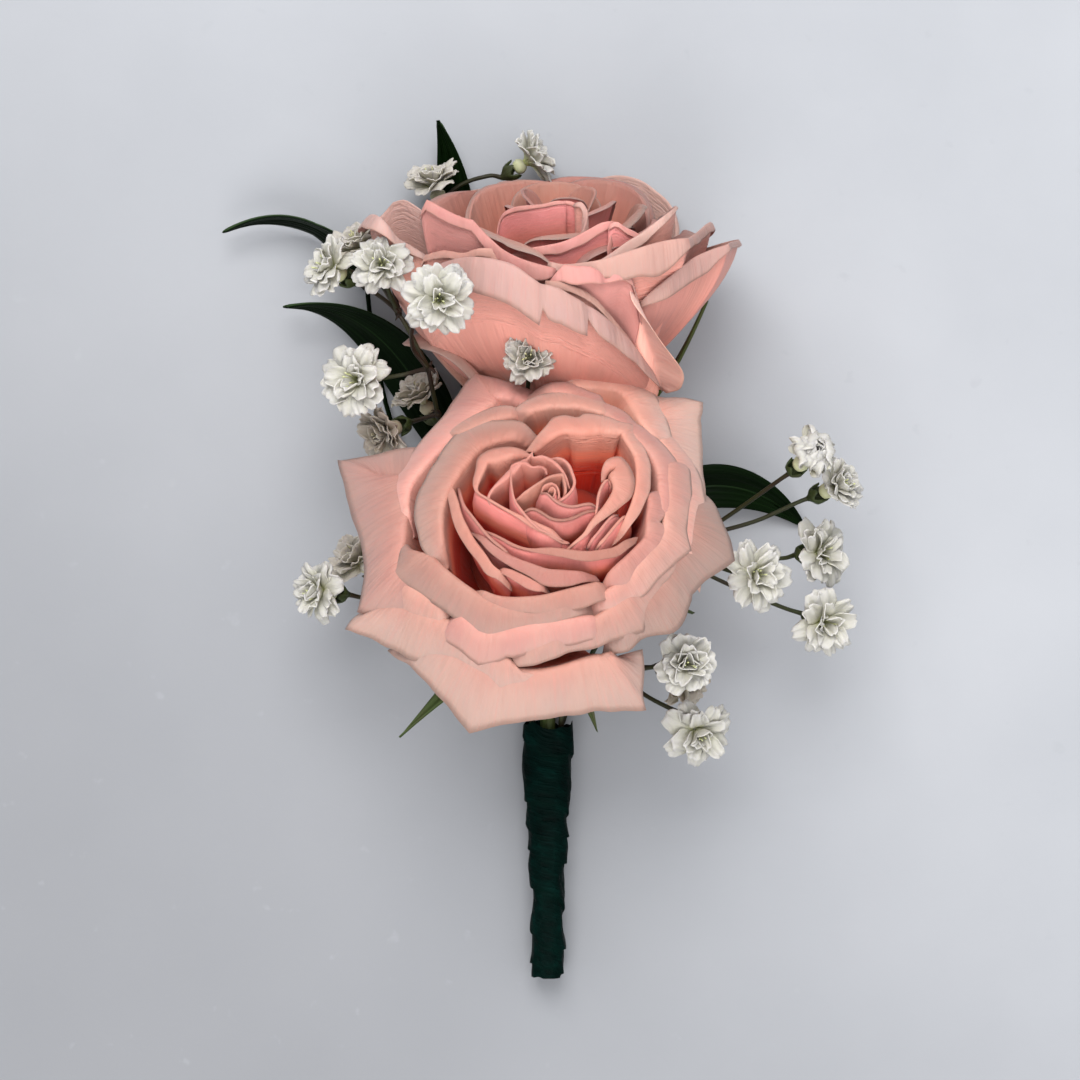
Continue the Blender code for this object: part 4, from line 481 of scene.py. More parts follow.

# Painted shade (a grey-beige) of single blooms that lie in shade, and sizes of single blooms that differ from
# their form.
BLOOM_SHADE = {"bloom_left_6": 0.75, "bloom_left_2": 0.35, "bloom_low_left_2": 0.5, "bloom_low_right_2": 0.8,
               "bloom_left_7": 0.6, "bloom_top_1": 0.25, "bloom_centre": 0.3}
BLOOM_SIZE = {"bloom_left_3": 0.80, "bloom_centre": 0.85, "bloom_right_1": 1.45}
BLOOM_CLOSED = {"bloom_left_1": 0.12, "bloom_low_left_1": 0.12}
# Whorls of a bloom: petals, lean of the tip from the axis in degrees, length, half width.
BLOOM_WHORLS = ((6, 96, 1.0, 1.75), (6, 72, 0.96, 1.65), (5, 46, 0.88, 1.40), (3, 20, 0.74, 1.05))
STAMENS = 6
# Round base of a bloom (r, z).
RECEPTACLE = ((0.6, 0.0), (1.0, 0.3), (1.15, 1.0), (0.8, 1.6), (0.3, 1.8))
RECEPTACLE_SIDES = 12
# Columns and rows of a leaf, and how much slimmer than its solid it is.
LEAF_GRID = (28, 90)
LEAF_SLIM = {"leaf_top": 0.88, "leaf_left_middle": 0.88, "leaf_left_upper": 0.88, "leaf_right": 0.74}

# Camera: height above the table, and what a pixel of the picture covers there.
CAMERA_HEIGHT = 450.0
MM_PER_PIXEL = 0.145
PHOTO_WIDTH = 1080
SENSOR_WIDTH = 36.0
# Half the board's side, in metres.
FLOOR_HALF = 3.0
# Lights: name, place from the object in metres, size, power.
LIGHTS = (("key", (-0.06, 0.34, 0.56), 0.40, 5.0), ("top", (0.22, 0.04, 0.68), 0.60, 1.6),
          ("front", (-0.05, -0.46, 0.50), 0.45, 3.2))

tape_low, tape_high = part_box("tape_wrap")
# The tables' zero in the row frame, in millimetres.
SHIFT = np.array([(tape_low[0] + tape_high[0]) / 2 / MM - TAPE_X, tape_low[1] / MM - TAPE_END_Y,
                  tape_low[2] / MM])


# ---------------------------------------------------------------- shapes

def smooth(t):
    """Ease from 0 to 1."""
    t = np.clip(t, 0.0, 1.0)
    return t * t * (3.0 - 2.0 * t)


def bezier(a, b, c, d, t):
    """Cubic curve from a to d with the controls b and c."""
    s = 1.0 - t
    return s ** 3 * a + 3 * t * s * s * b + 3 * t * t * s * c + t ** 3 * d


def ripple(rng, x, waves, low, high):
    """Smooth random wave over x, about -1 to 1, from a few sines with frequencies low to high."""
    total = np.zeros_like(x)
    for _ in range(waves):
        total = total + np.sin(rng.uniform(low, high) * x + rng.uniform(0, 2 * math.pi))
    return total / math.sqrt(waves) * 0.8


def unit(vectors):
    """Vectors along the last axis, brought to length 1."""
    return vectors / np.maximum(np.linalg.norm(vectors, axis=-1, keepdims=True), 1e-9)


def run_length(line):
    """Length along a line of points, at each of them."""
    return np.concatenate([[0], np.cumsum(np.linalg.norm(np.diff(line, axis=0), axis=1))])


def radius_of(points):
    """Distance of points from the z axis."""
    return np.hypot(points[..., 0], points[..., 1])


def full_turn(sides):
    """Angles of evenly spaced sides."""
    return 2 * math.pi * np.arange(sides) / sides


def ring(radius, height, turn):
    """Points round the z axis at the angles of turn."""
    return np.stack([radius * np.cos(turn), radius * np.sin(turn), height + np.zeros(len(turn))], 1)


def rose_matrix(base, tilt):
    """Rose axes to world, in millimetres."""
    return np.array(Matrix.Translation(base) @ Matrix.Rotation(-math.radians(tilt), 4, "X"))


def to_world(points, matrix):
    """Apply a 4x4 matrix to an array of points."""
    return points @ matrix[:3, :3].T + matrix[:3, 3]


def lay_on_table(points, half_thickness):
    """Press what would go through the table back up, leaving a shallow belly."""
    z = points[..., 2]
    points[..., 2] = np.where(z < half_thickness, half_thickness + 0.02 * (z - half_thickness), z)
    return points


def smooth_route(points, steps):
    """Points of a smooth curve through the given ones (Catmull-Rom)."""
    knots = [np.array(p, float) for p in points]
    knots = [2 * knots[0] - knots[1]] + knots + [2 * knots[-1] - knots[-2]]
    route = []
    for a, b, c, d in zip(knots, knots[1:], knots[2:], knots[3:]):
        for step in range(steps):
            t = step / steps
            route.append(0.5 * (2 * b + (c - a) * t + (2 * a - 5 * b + 4 * c - d) * t * t
                                + (3 * b - a - 3 * c + d) * t ** 3))
    route.append(knots[-2])
    return np.array(route)


class Piece:
    """Gathers sheets, tubes and turned forms, with named values at their points, into one mesh."""

    NAMES = ("along", "face", "across", "grain_u", "grain_v", "tone", "hue", "deep", "warm", "rosy", "open",
             "edge")

    def __init__(self):
        self.points = []
        self.faces = []
        self.values = {name: [] for name in self.NAMES}
        self.count = 0

    def add(self, points, faces, values):
        """Add points with faces that count from this batch's first point."""
        points = np.asarray(points, float).reshape(-1, 3)
        self.points.append(points)
        self.faces.append((np.asarray(faces, np.int64), self.count))
        for name in self.NAMES:
            value = values.get(name, 0.0)
            self.values[name].append(np.broadcast_to(np.asarray(value, float).ravel(), (len(points),)))
        self.count += len(points)

    def sheet(self, middle, thickness, values, up=1.0):
        """Closed thin sheet round a grid of middle points; up says which side has face 1."""
        rows, columns = middle.shape[:2]
        across = np.gradient(middle, axis=1)
        along = np.gradient(middle, axis=0)
        normal = unit(np.cross(across, along))
        half = (np.broadcast_to(thickness, (rows, columns)) / 2)[..., None]
        index = np.arange(rows * columns).reshape(rows, columns)
        a, b = index[:-1, :-1].ravel(), index[:-1, 1:].ravel()
        c, d = index[1:, 1:].ravel(), index[1:, :-1].ravel()
        back = rows * columns
        ring = np.concatenate([index[0, :], index[1:, -1], index[-1, -2::-1], index[-2:0:-1, 0]])
        after = np.roll(ring, -1)
        faces = np.concatenate([np.stack([a, b, c, d], 1), np.stack([d, c, b, a], 1) + back,
                                np.stack([ring, ring + back, after + back, after], 1)])
        doubled = {name: np.tile(np.broadcast_to(value, (rows, columns)).ravel(), 2)
                   for name, value in values.items()}
        doubled["face"] = np.repeat([1.0, 0.0] if up > 0 else [0.0, 1.0], back)
        self.add(np.concatenate([(middle + normal * half).reshape(-1, 3),
                                 (middle - normal * half).reshape(-1, 3)]), faces, doubled)

    def loft(self, rings, values, closed_ends=True):
        """Skin over rings of points, an array (rings, sides, 3)."""
        count, sides = rings.shape[:2]
        index = np.arange(count * sides).reshape(count, sides)
        nxt = np.roll(index, -1, axis=1)
        faces = np.stack([index[:-1].ravel(), nxt[:-1].ravel(), nxt[1:].ravel(), index[1:].ravel()], 1)
        points = rings.reshape(-1, 3)
        values = {name: np.broadcast_to(value, (count, sides)).ravel() for name, value in values.items()}
        if closed_ends:
            points = np.concatenate([points, rings[0].mean(0)[None], rings[-1].mean(0)[None]])
            first, last = count * sides, count * sides + 1
            start = np.stack([nxt[0], index[0], np.full(sides, first), np.full(sides, first)], 1)
            end = np.stack([index[-1], nxt[-1], np.full(sides, last), np.full(sides, last)], 1)
            faces = np.concatenate([faces, start, end])
            values = {name: np.concatenate([value, [value[0], value[-1]]])
                      for name, value in values.items()}
        self.add(points, faces, values)

    def tube(self, route, radii, sides, **values):
        """Round stem along a route with a radius at each point."""
        route = np.asarray(route, float)
        radii = np.broadcast_to(radii, (len(route),))
        ahead = unit(np.gradient(route, axis=0))
        side = np.cross(ahead[0], (0.3, 0.2, 1.0))
        frames = []
        for direction in ahead:
            side = side - direction * (side @ direction)
            side /= np.linalg.norm(side)
            frames.append((side, np.cross(direction, side)))
        turn = full_turn(sides)
        rings = np.stack([point + r * (np.cos(turn)[:, None] * f[0] + np.sin(turn)[:, None] * f[1])
                          for point, r, f in zip(route, radii, frames)])
        length = run_length(route)
        grids = {"along": (length / length[-1])[:, None], "grain_v": length[:, None],
                 "grain_u": (turn * radii.mean())[None, :]}
        grids.update({name: (np.asarray(value)[:, None] if np.ndim(value) == 1 else value)
                      for name, value in values.items()})
        self.loft(rings, grids)

    def finish(self, name, material, node):
        """Make the mesh object, and let it ride on the frame in place of its CAD node."""
        mesh = bpy.data.meshes.new(name)
        points = (np.concatenate(self.points) + SHIFT) * MM
        faces = []
        for batch, start in self.faces:
            for face in (batch + start).tolist():
                faces.append(face[:3] if face[2] == face[3] else face)
        mesh.from_pydata(points.tolist(), [], faces)
        for key in self.NAMES:
            data = np.concatenate(self.values[key]).astype(np.float32)
            if np.ptp(data) > 0 or data[0] != 0:
                mesh.attributes.new(key, "FLOAT", "POINT").data.foreach_set("value", data)
        mesh.shade_smooth()
        mesh.materials.append(material)
        obj = bpy.data.objects.new(name, mesh)
        bpy.context.scene.collection.objects.link(obj)
        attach(obj, "root")
        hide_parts(node)


# ---------------------------------------------------------------- materials

class Nodes:
    """Short names for building one material's node tree."""

    def __init__(self, name, **sockets):
        self.material = bpy.data.materials.new(name)
        self.material.use_nodes = True
        self.tree = self.material.node_tree
        self.shader = self.tree.nodes["Principled BSDF"]
        for key, value in sockets.items():
            self.shader.inputs[key.replace("_", " ")].default_value = value

    def node(self, kind, inputs=(), **settings):
        """A node with its settings; inputs are (socket, value or output) pairs."""
        node = self.tree.nodes.new("ShaderNode" + kind)
        for key, value in settings.items():
            setattr(node, key, value)
        for socket, value in inputs:
            if isinstance(value, bpy.types.NodeSocket):
                self.tree.links.new(value, node.inputs[socket])
            else:
                node.inputs[socket].default_value = value
        return node

    def value(self, name):
        """A named value of the mesh."""
        return self.node("Attribute", attribute_name=name).outputs["Fac"]

    def math(self, operation, *inputs, clamp=False):
        """One arithmetic step."""
        node = self.node("Math", tuple(enumerate(inputs)), operation=operation, use_clamp=clamp)
        return node.outputs[0]

    def grain(self, scale_u, scale_v, detail=3.0, roughness=0.55):
        """Noise over the surface's own grain, in features per millimetre across and along."""
        u = self.math("MULTIPLY", self.value("grain_u"), scale_u)
        v = self.math("MULTIPLY", self.value("grain_v"), scale_v)
        w = self.math("MULTIPLY", self.value("tone"), 37.0)
        place = self.node("CombineXYZ", ((0, u), (1, v), (2, w)))
        noise = self.node("TexNoise", (("Vector", place.outputs[0]), ("Scale", 1.0), ("Detail", detail),
                                       ("Roughness", roughness)))
        return noise.outputs["Fac"]

    def ramp(self, value, *stops):
        """Colour ramp; a stop is (place, (r, g, b))."""
        node = self.node("ValToRGB", ((0, value),))
        elements = node.color_ramp.elements
        while len(elements) < len(stops):
            elements.new(0.5)
        for element, (place, colour) in zip(elements, stops):
            element.position = place
            element.color = (*colour, 1.0)
        return node.outputs[0]

    def span(self, value, low, high, to_low=0.0, to_high=1.0):
        """Map a range of a value to another."""
        node = self.node("MapRange", ((0, value), (1, low), (2, high), (3, to_low), (4, to_high)),
                         interpolation_type="SMOOTHSTEP")
        return node.outputs[0]

    def mix(self, factor, a, b, blend="MIX"):
        """Mix two colours."""
        node = self.node("Mix", data_type="RGBA", blend_type=blend)
        for socket, value in (("Factor", factor), ("A", a), ("B", b)):
            target = [s for s in node.inputs if s.name == socket and s.enabled][0]
            if isinstance(value, bpy.types.NodeSocket):
                self.tree.links.new(value, target)
            else:
                target.default_value = (*value, 1.0) if isinstance(value, tuple) else value
        return [s for s in node.outputs if s.enabled][0]

    def bump(self, height, distance, strength, under=None):
        """Bump by a height value, over another bump if one is given."""
        inputs = [("Height", height), ("Distance", distance), ("Strength", strength)]
        if under:
            inputs.append(("Normal", under))
        return self.node("Bump", inputs).outputs[0]

    def done(self, colour, normal, roughness=None):
        """Link the results to the shader."""
        self.tree.links.new(colour, self.shader.inputs["Base Color"])
        self.tree.links.new(normal, self.shader.inputs["Normal"])
        if roughness:
            self.tree.links.new(roughness, self.shader.inputs["Roughness"])
        return self.material


def petal_material():
    """Rose petal: pale cream-pink rim, peach blade and deep orange-red heart, much of it painted shade,
    pinker outside, fine veins.
    """
    n = Nodes("petal", Roughness=0.58, Sheen_Weight=0.05, Sheen_Roughness=0.5, Subsurface_Weight=0.10,
              Subsurface_Radius=(1.0, 0.45, 0.32), Subsurface_Scale=0.0006, Specular_IOR_Level=0.18)
    along = n.value("along")
    inner = n.ramp(along, (0.0, (0.95, 0.08, 0.02)), (0.30, (0.92, 0.22, 0.11)), (0.50, (0.72, 0.26, 0.165)),
                   (0.66, (0.47, 0.215, 0.16)), (0.82, (0.39, 0.195, 0.155)), (1.0, (0.35, 0.24, 0.205)))
    outer = n.ramp(along, (0.0, (0.60, 0.40, 0.18)), (0.3, (0.98, 0.27, 0.21)), (0.58, (0.92, 0.27, 0.24)),
                   (0.76, (0.50, 0.215, 0.20)), (1.0, (0.35, 0.235, 0.21)))
    # petals that stand free are pale outside, and greenish yellow at the claw
    free = n.value("open")
    outer = n.mix(n.math("MAXIMUM", n.value("warm"), n.math("MULTIPLY", free, 0.7)), outer,
                  n.ramp(along, (0.0, (0.42, 0.40, 0.16)), (0.15, (0.62, 0.36, 0.22)),
                         (0.35, (0.72, 0.32, 0.235)), (0.6, (0.70, 0.355, 0.27)),
                         (0.74, (0.36, 0.22, 0.175)), (1.0, (0.30, 0.22, 0.175))))
    inner = n.mix(n.value("warm"), inner, n.ramp(along, (0.0, (0.60, 0.22, 0.14)), (0.5, (0.46, 0.29, 0.245)),
                                                 (0.72, (0.41, 0.28, 0.24)), (1.0, (0.38, 0.285, 0.245))))
    colour = n.mix(n.value("face"), outer, inner)
    # deep between the petals the blade turns orange and then dark red: partly its own deeper colour, mostly
    # painted shade coloured like light that passes through and between the petals
    hidden = n.math("SUBTRACT", 1.0, n.math("MULTIPLY", free, n.math("SUBTRACT", 1.0, n.value("face"))))
    deep = n.math("MULTIPLY", n.value("deep"), hidden)
    colour = n.mix(n.span(deep, 0.02, 0.45, 0.0, 0.80), colour, (0.94, 0.22, 0.11))
    colour = n.mix(n.span(deep, 0.50, 1.0, 0.0, 0.92), colour, (0.66, 0.035, 0.010))
    hue = n.value("hue")
    colour = n.mix(n.math("MULTIPLY", n.math("MAXIMUM", hue, 0.0), 0.45), colour, (0.60, 0.22, 0.225))
    # weathered cream tips
    tip = n.math("MAXIMUM", n.math("MULTIPLY", hue, -1.0), 0.0)
    tip = n.math("MULTIPLY", tip, n.span(along, 0.70, 1.0), clamp=True)
    colour = n.mix(tip, colour, (0.42, 0.295, 0.245))
    # dry, slightly darker rim
    colour = n.mix(n.math("MULTIPLY", n.value("edge"), 0.45), colour, (0.36, 0.19, 0.13))
    blotch = n.grain(0.16, 0.11, 2.0)
    colour = n.mix(n.span(blotch, 0.40, 0.62, 0.0, 0.22), colour, (0.46, 0.27, 0.21))
    veins = n.grain(2.8, 0.13, 4.0, 0.62)
    colour = n.mix(n.span(veins, 0.50, 0.70, 0.0, 0.17), colour, (0.55, 0.19, 0.16))
    # painted light and shade of each petal's wall and lip, with a little random tone of its own
    light = n.math("ADD", n.math("MULTIPLY", n.value("tone"), 0.07), 0.97)
    shade = n.node("CombineColor", ((0, light), (1, light), (2, light))).outputs[0]
    colour = n.mix(1.0, colour, shade, "MULTIPLY")
    # the thin lips round the heart are rosier than the broad outer ones
    colour = n.mix(n.value("rosy"), colour, (0.60, 0.44, 0.42), "MULTIPLY")
    normal = n.bump(n.grain(1.6, 0.09, 4.0), 0.0005, 0.30)
    normal = n.bump(n.grain(0.30, 0.16, 2.0), 0.0016, 0.35, normal)
    return n.done(colour, normal)


def bloom_material():
    """Baby's breath: thin white petals, green-cream at the claws and in the middle."""
    n = Nodes("bloom_white", Roughness=0.6, Subsurface_Weight=0.40, Subsurface_Radius=(0.8, 0.8, 0.6),
              Subsurface_Scale=0.001, Specular_IOR_Level=0.3)
    colour = n.ramp(n.value("along"), (0.0, (0.33, 0.37, 0.06)), (0.25, (0.39, 0.41, 0.15)),
                    (0.52, (0.37, 0.355, 0.285)), (1.0, (0.405, 0.385, 0.36)))
    # painted shade: blooms that lie in shade turn grey-beige
    colour = n.mix(n.value("hue"), colour, (0.28, 0.215, 0.165))
    veins = n.grain(2.6, 0.25, 3.0)
    colour = n.mix(n.span(veins, 0.50, 0.70, 0.0, 0.35), colour, (0.37, 0.355, 0.28))
    normal = n.bump(n.grain(2.2, 0.3, 3.0), 0.0003, 0.5)
    return n.done(colour, normal)


def green_material(name, green, brown):
    """Stem, hip and sepal: one green that turns to brown in places, with fine ribs along it."""
    n = Nodes(name, Roughness=0.5, Specular_IOR_Level=0.2)
    patch = n.grain(0.3, 0.12, 3.0)
    amount = n.math("ADD", n.span(patch, 0.42, 0.66), n.value("hue"), clamp=True)
    colour = n.mix(amount, green, brown)
    fibre = n.grain(3.0, 0.2, 3.0)
    colour = n.mix(n.span(fibre, 0.45, 0.7, 0.0, 0.35), colour, tuple(0.45 * c for c in green))
    colour = n.mix(n.value("deep"), colour, (0.035, 0.050, 0.014))
    normal = n.bump(fibre, 0.0004, 0.5)
    return n.done(colour, normal)


def leaf_material():
    """Ruscus leaf: very dark waxy green with parallel veins, paler underneath."""
    n = Nodes("leaf_green", Roughness=0.40, Specular_IOR_Level=0.03)
    stripe = n.grain(1.6, 0.02, 2.0)
    colour = n.ramp(n.grain(0.25, 0.06, 3.0), (0.3, (0.0004, 0.0022, 0.0002)),
                    (0.7, (0.0018, 0.0065, 0.0009)))
    colour = n.mix(n.span(stripe, 0.5, 0.7, 0.0, 0.35), colour, (0.004, 0.012, 0.0026))
    rib = n.span(n.math("ABSOLUTE", n.value("across")), 0.0, 0.07, 1.0, 0.0)
    colour = n.mix(n.math("MULTIPLY", rib, 0.5), colour, (0.012, 0.028, 0.008))
    below = n.math("SUBTRACT", 1.0, n.value("face"))
    colour = n.mix(n.math("MULTIPLY", below, 0.5), colour, (0.05, 0.085, 0.035))
    normal = n.bump(stripe, 0.0005, 0.55)
    return n.done(colour, normal, n.span(stripe, 0.3, 0.7, 0.28, 0.42))


def tape_material():
    """Floral tape: very dark green waxed crepe paper, finely wrinkled across its length."""
    n = Nodes("floral_tape", Roughness=0.55, Specular_IOR_Level=0.02)
    wrinkle = n.grain(0.35, 4.0, 3.0)
    broad = n.grain(0.3, 0.5, 3.0)
    colour = n.ramp(broad, (0.3, (0.0002, 0.0024, 0.0019)), (0.55, (0.0004, 0.0055, 0.0042)),
                    (0.75, (0.001, 0.013, 0.010)))
    colour = n.mix(n.span(wrinkle, 0.5, 0.8, 0.0, 0.35), colour, (0.003, 0.018, 0.015))
    edge = n.value("hue")
    colour = n.mix(n.math("MULTIPLY", edge, 0.8), colour, (0.0005, 0.006, 0.004))
    normal = n.bump(wrinkle, 0.0004, 0.6)
    normal = n.bump(broad, 0.0015, 0.5, normal)
    return n.done(colour, normal, n.span(broad, 0.3, 0.7, 0.42, 0.66))


# ---------------------------------------------------------------- roses

# Where the fold lies on the way from a petal's claw to its rim.
FOLD_AT = 0.66
HEART_SIDES = 28
# Columns and rows of a hidden petal, and its painted shade, since it lies behind the others.
HIDDEN_GRID = (34, 26)
HIDDEN_SHADE = -4.0
# Hue of the petals that show a pink outside.
PINKEST = 0.95
# First seed of each group of petals.
FRONT_SEED = 100
REAR_SEED = 200
HIDDEN_SEED = 250


def petal_sheet(row, rng):
    """Middle surface of a petal in rose axes: a steep wall, a rounded crest and a broad folded lip."""
    columns, rows = HIDDEN_GRID
    u = np.linspace(-1.0, 1.0, columns + 1)[None, :]
    v = np.linspace(0.0, 1.0, rows + 1)[:, None]
    across = np.abs(u)
    left = u < 0
    fall = row.fall * across ** 7
    rim_r = row.rim_r[1] + (np.where(left, row.rim_r[0], row.rim_r[2]) - row.rim_r[1]) * across ** 1.6
    rim_z = row.rim_z[1] + (np.where(left, row.rim_z[0], row.rim_z[2]) - row.rim_z[1]) * across ** PETAL_POWER
    rim_r = rim_r - 0.12 * fall
    rim_z = rim_z - fall
    for size, place, width in row.tips:
        rim_r = rim_r + size * np.exp(-np.abs(u - place) / width)
    ease = 1.0 - 0.35 * across ** 2
    fold = (0.60 * row.lip[0] + 0.05) * ease
    rise = 0.05 * row.lip[1] * ease
    # fine ruffles and shallow nicks of the rim
    soft = min(1.0, row.lip[0] / 3.0)
    edge = 0.22 * soft * ripple(rng, u, 4, 4.0, 14.0)
    for _ in range(rng.integers(1, 4)):
        edge = edge - rng.uniform(0.3, 0.9) * soft * np.exp(-np.abs(u - rng.uniform(-0.8, 0.8)) / 0.035)
    flutter = 0.30 * soft * ripple(rng, u, 4, 3.0, 11.0)
    rim_r = rim_r + edge
    crest_r = rim_r - edge - fold
    for size, place, width in row.tips:
        crest_r = crest_r - 0.55 * size * np.exp(-np.abs(u - place) / width)
    crest_z = rim_z + rise
    swell = row.belly[0] / row.rim_r[1]
    steep = math.radians(66)
    reach = 0.34 * (crest_z - row.belly[1])
    t = v / FOLD_AT
    wall_r = bezier(2.2, swell * rim_r, crest_r - reach * math.cos(steep), crest_r, np.clip(t, 0, 1))
    wall_z = bezier(0.5, row.belly[1], crest_z - reach * math.sin(steep), crest_z, np.clip(t, 0, 1))
    s = np.clip((v - FOLD_AT) / (1 - FOLD_AT), 0, 1)
    over = rim_r - crest_r
    lip_r = bezier(crest_r, crest_r + 0.30 * over * math.cos(steep), rim_r - 0.55 * over, rim_r, s)
    lip_z = bezier(crest_z, crest_z + 0.30 * over * math.sin(steep), rim_z + 0.13 * over, rim_z, s)
    r = np.where(v < FOLD_AT, wall_r, lip_r)
    z = np.where(v < FOLD_AT, wall_z, lip_z)
    phase = row.azimuth * 0.7 + row.half_span
    wave = row.wave * smooth((v - 0.45) / 0.55)
    r = r + wave * (np.sin(3.1 * u + phase) + 0.45 * np.sin(7.3 * u + 1.7 * phase))
    z = z + flutter * smooth((v - 0.7) / 0.3) ** 2
    # a slow swell of the whole blade
    r = r + 0.18 * soft * ripple(rng, 2.0 * u + 3.0 * v, 3, 1.0, 3.0) * smooth((v - 0.3) / 0.4)
    width = 0.34 + 0.66 * smooth(v / 0.62)
    angle = np.radians(row.azimuth + row.half_span * u * width)
    points = np.stack([r * np.cos(angle), r * np.sin(angle), z * np.ones_like(angle)], axis=-1)
    half_width = np.radians(row.half_span) * row.rim_r[1] * width
    return points, {"along": v, "across": u, "grain_u": u * half_width, "grain_v": v * row.rim_z[1]}


def split_knots(knots, size):
    """The first size numbers of each knot, as an array, and which knots are marked as corners."""
    return np.array([knot[:size] for knot in knots], float), [len(knot) > size for knot in knots]


def smooth_line(points, corner, axes):
    """Even points of a smooth line through the given ones, sharp at corners; axes of them are lengths."""
    gap = np.maximum(np.linalg.norm(np.diff(points[:, :axes], axis=0), axis=1), 1e-6)
    slope = np.diff(points, axis=0) / gap[:, None]
    inner = (slope[:-1] * gap[1:, None] + slope[1:] * gap[:-1, None]) / (gap[:-1] + gap[1:])[:, None]
    tangent = np.concatenate([slope[:1], inner, slope[-1:]])
    step = float(np.interp(radius_of(points).mean(), (3.0, 18.0), (0.30, 0.75)))
    line = []
    for k, length in enumerate(gap):
        leave = slope[k] if corner[k] else tangent[k]
        arrive = slope[k] if corner[k + 1] else tangent[k + 1]
        count = max(1, round(length / step))
        t = (np.arange(count) / count)[:, None]
        line.append((2 * t ** 3 - 3 * t ** 2 + 1) * points[k] + (t ** 3 - 2 * t ** 2 + t) * length * leave
                    + (3 * t ** 2 - 2 * t ** 3) * points[k + 1] + (t ** 3 - t ** 2) * length * arrive)
    return np.concatenate(line + [points[-1:]])


def soften(values, width):
    """Moving average along the first axis, with the ends held."""
    reach = max(1, int(round(width)))
    weights = np.hanning(2 * reach + 3)[1:-1]
    padded = np.concatenate([np.repeat(values[:1], reach, 0), values, np.repeat(values[-1:], reach, 0)])
    return np.stack([np.convolve(column, weights / weights.sum(), "valid") for column in padded.T], 1)


def out_of(line, width):
    """Softened outward direction along a line, in plan."""
    ahead = unit(np.gradient(line[:, :2], axis=0))
    return unit(soften(np.stack([ahead[:, 1], -ahead[:, 0]], 1), width))


def rim_sheet(lift, line, dome, rng):
    """Petal that hangs from its rim, a line of (x, y, lip width) that lies on the dome."""
    rim, lip = line[:, :2], np.maximum(line[:, 2], 0.08)
    length = run_length(rim)
    step = length[-1] / (len(line) - 1)
    out = out_of(rim, max(lip.mean() * 0.9, 0.6) / step)
    big = float(np.interp(radius_of(rim).mean(), (6.0, 18.0), (0.0, 1.0)))
    crest = soften(rim - out * lip[:, None], max((0.8 + 1.0 * big) * lip.mean(), 0.5) / step)
    nick = 0.025 * np.minimum(lip, 2.5) * ripple(rng, 0.35 * length, 4, 1.5, 5.0)
    for _ in range(int(rng.integers(0, 3) * big)):
        place = rng.uniform(0.1, 0.9) * length[-1]
        nick = nick - rng.uniform(0.15, 0.45) * np.exp(-np.abs(length - place) / 0.5)
    rim = rim + out * nick[:, None]
    radii, heights = zip(*dome)
    high = np.interp(radius_of(crest), radii, heights) + lift
    rim_z = np.interp(radius_of(rim), radii, heights) + lift + 0.12 + 0.05 * lip
    rim_z = rim_z + 0.045 * np.minimum(lip, 2.5) * ripple(rng, 0.35 * length, 4, 0.8, 2.6)
    end = np.minimum(length, length[-1] - length) / (0.10 * length[-1] + 0.6)
    tuck = (1 - smooth(end)) * (0.8 + 2.0 * big)
    size = radius_of(rim).mean()
    front = -out[:, 1]
    closing = np.interp(size, (3.0, 8.0, 12.5, 16.5), (50.0, 46.0, 36.0, 6.0))
    lean = np.interp(size, (11.0, 14.0, 20.0, 27.0), (86.0, 74.0, 66.0, 58.0))
    lean = np.radians(lean + closing * (0.25 + 0.75 * front))
    top = np.concatenate([crest, (high - tuck)[:, None]], 1)
    edge = np.concatenate([rim, (rim_z - tuck)[:, None]], 1)
    points, values = blade(top, edge, out, lean, 0.62 + 0.22 * (1 - big), big, length, rng)
    radius = radius_of(points)
    # painted shade: a little on every petal near the middle, less on the broad outer petals
    values["deep"] = np.maximum(values["deep"], 0.10 * smooth((17.0 - radius) / 6.0))
    values["open"] = float(smooth((size - 14.5) / 2.5))
    values["deep"] = values["deep"] * float(np.interp(size, (17.0, 22.0), (1.0, 0.4)))
    # the ends of the broad outer petals stand clear of their neighbours, so they get little painted shade and
    # stay pale inside
    clear = 1 - smooth(np.minimum(length, length[-1] - length) / (0.25 * length[-1]))
    clear = clear * smooth((size - 19.0) / 3.0)
    values["deep"] = values["deep"] * (1 - 0.9 * clear)
    values["warm"] = 0.8 * clear * (1 - smooth((values["along"] - 0.5) / 0.2))
    values["rosy"] = 0.32 * smooth((16.5 - radius) / 6.0) * smooth((values["along"] - 0.52) / 0.14)
    return points, values


def fold_sheet(swell, line, rng):
    """Petal from the fold at its top, a line of (x, y, z, lip width, lip drop); the lip hangs outside it."""
    top, lip, drop = line[:, :3], line[:, 3:4], line[:, 4]
    length = run_length(top)
    step = length[-1] / (len(line) - 1)
    out = out_of(top, 1.6 / step)
    wide = np.minimum(drop, 2.0)
    edge = np.concatenate([top[:, :2] + out * lip, (top[:, 2] - drop)[:, None]], 1)
    edge[:, 2] += 0.10 * wide * ripple(rng, 0.35 * length, 4, 1.5, 5.0)
    edge[:, :2] += out * (0.10 * wide * ripple(rng, 0.35 * length, 4, 0.8, 2.6))[:, None]
    size = radius_of(top).mean()
    big = float(np.interp(size, (8.0, 14.0), (0.0, 1.0)))
    points, values = blade(top, edge, out, np.full(len(top), math.radians(84)), swell, big, length, rng)
    values["open"] = float(smooth((size - 15.5) / 2.5))
    return points, values


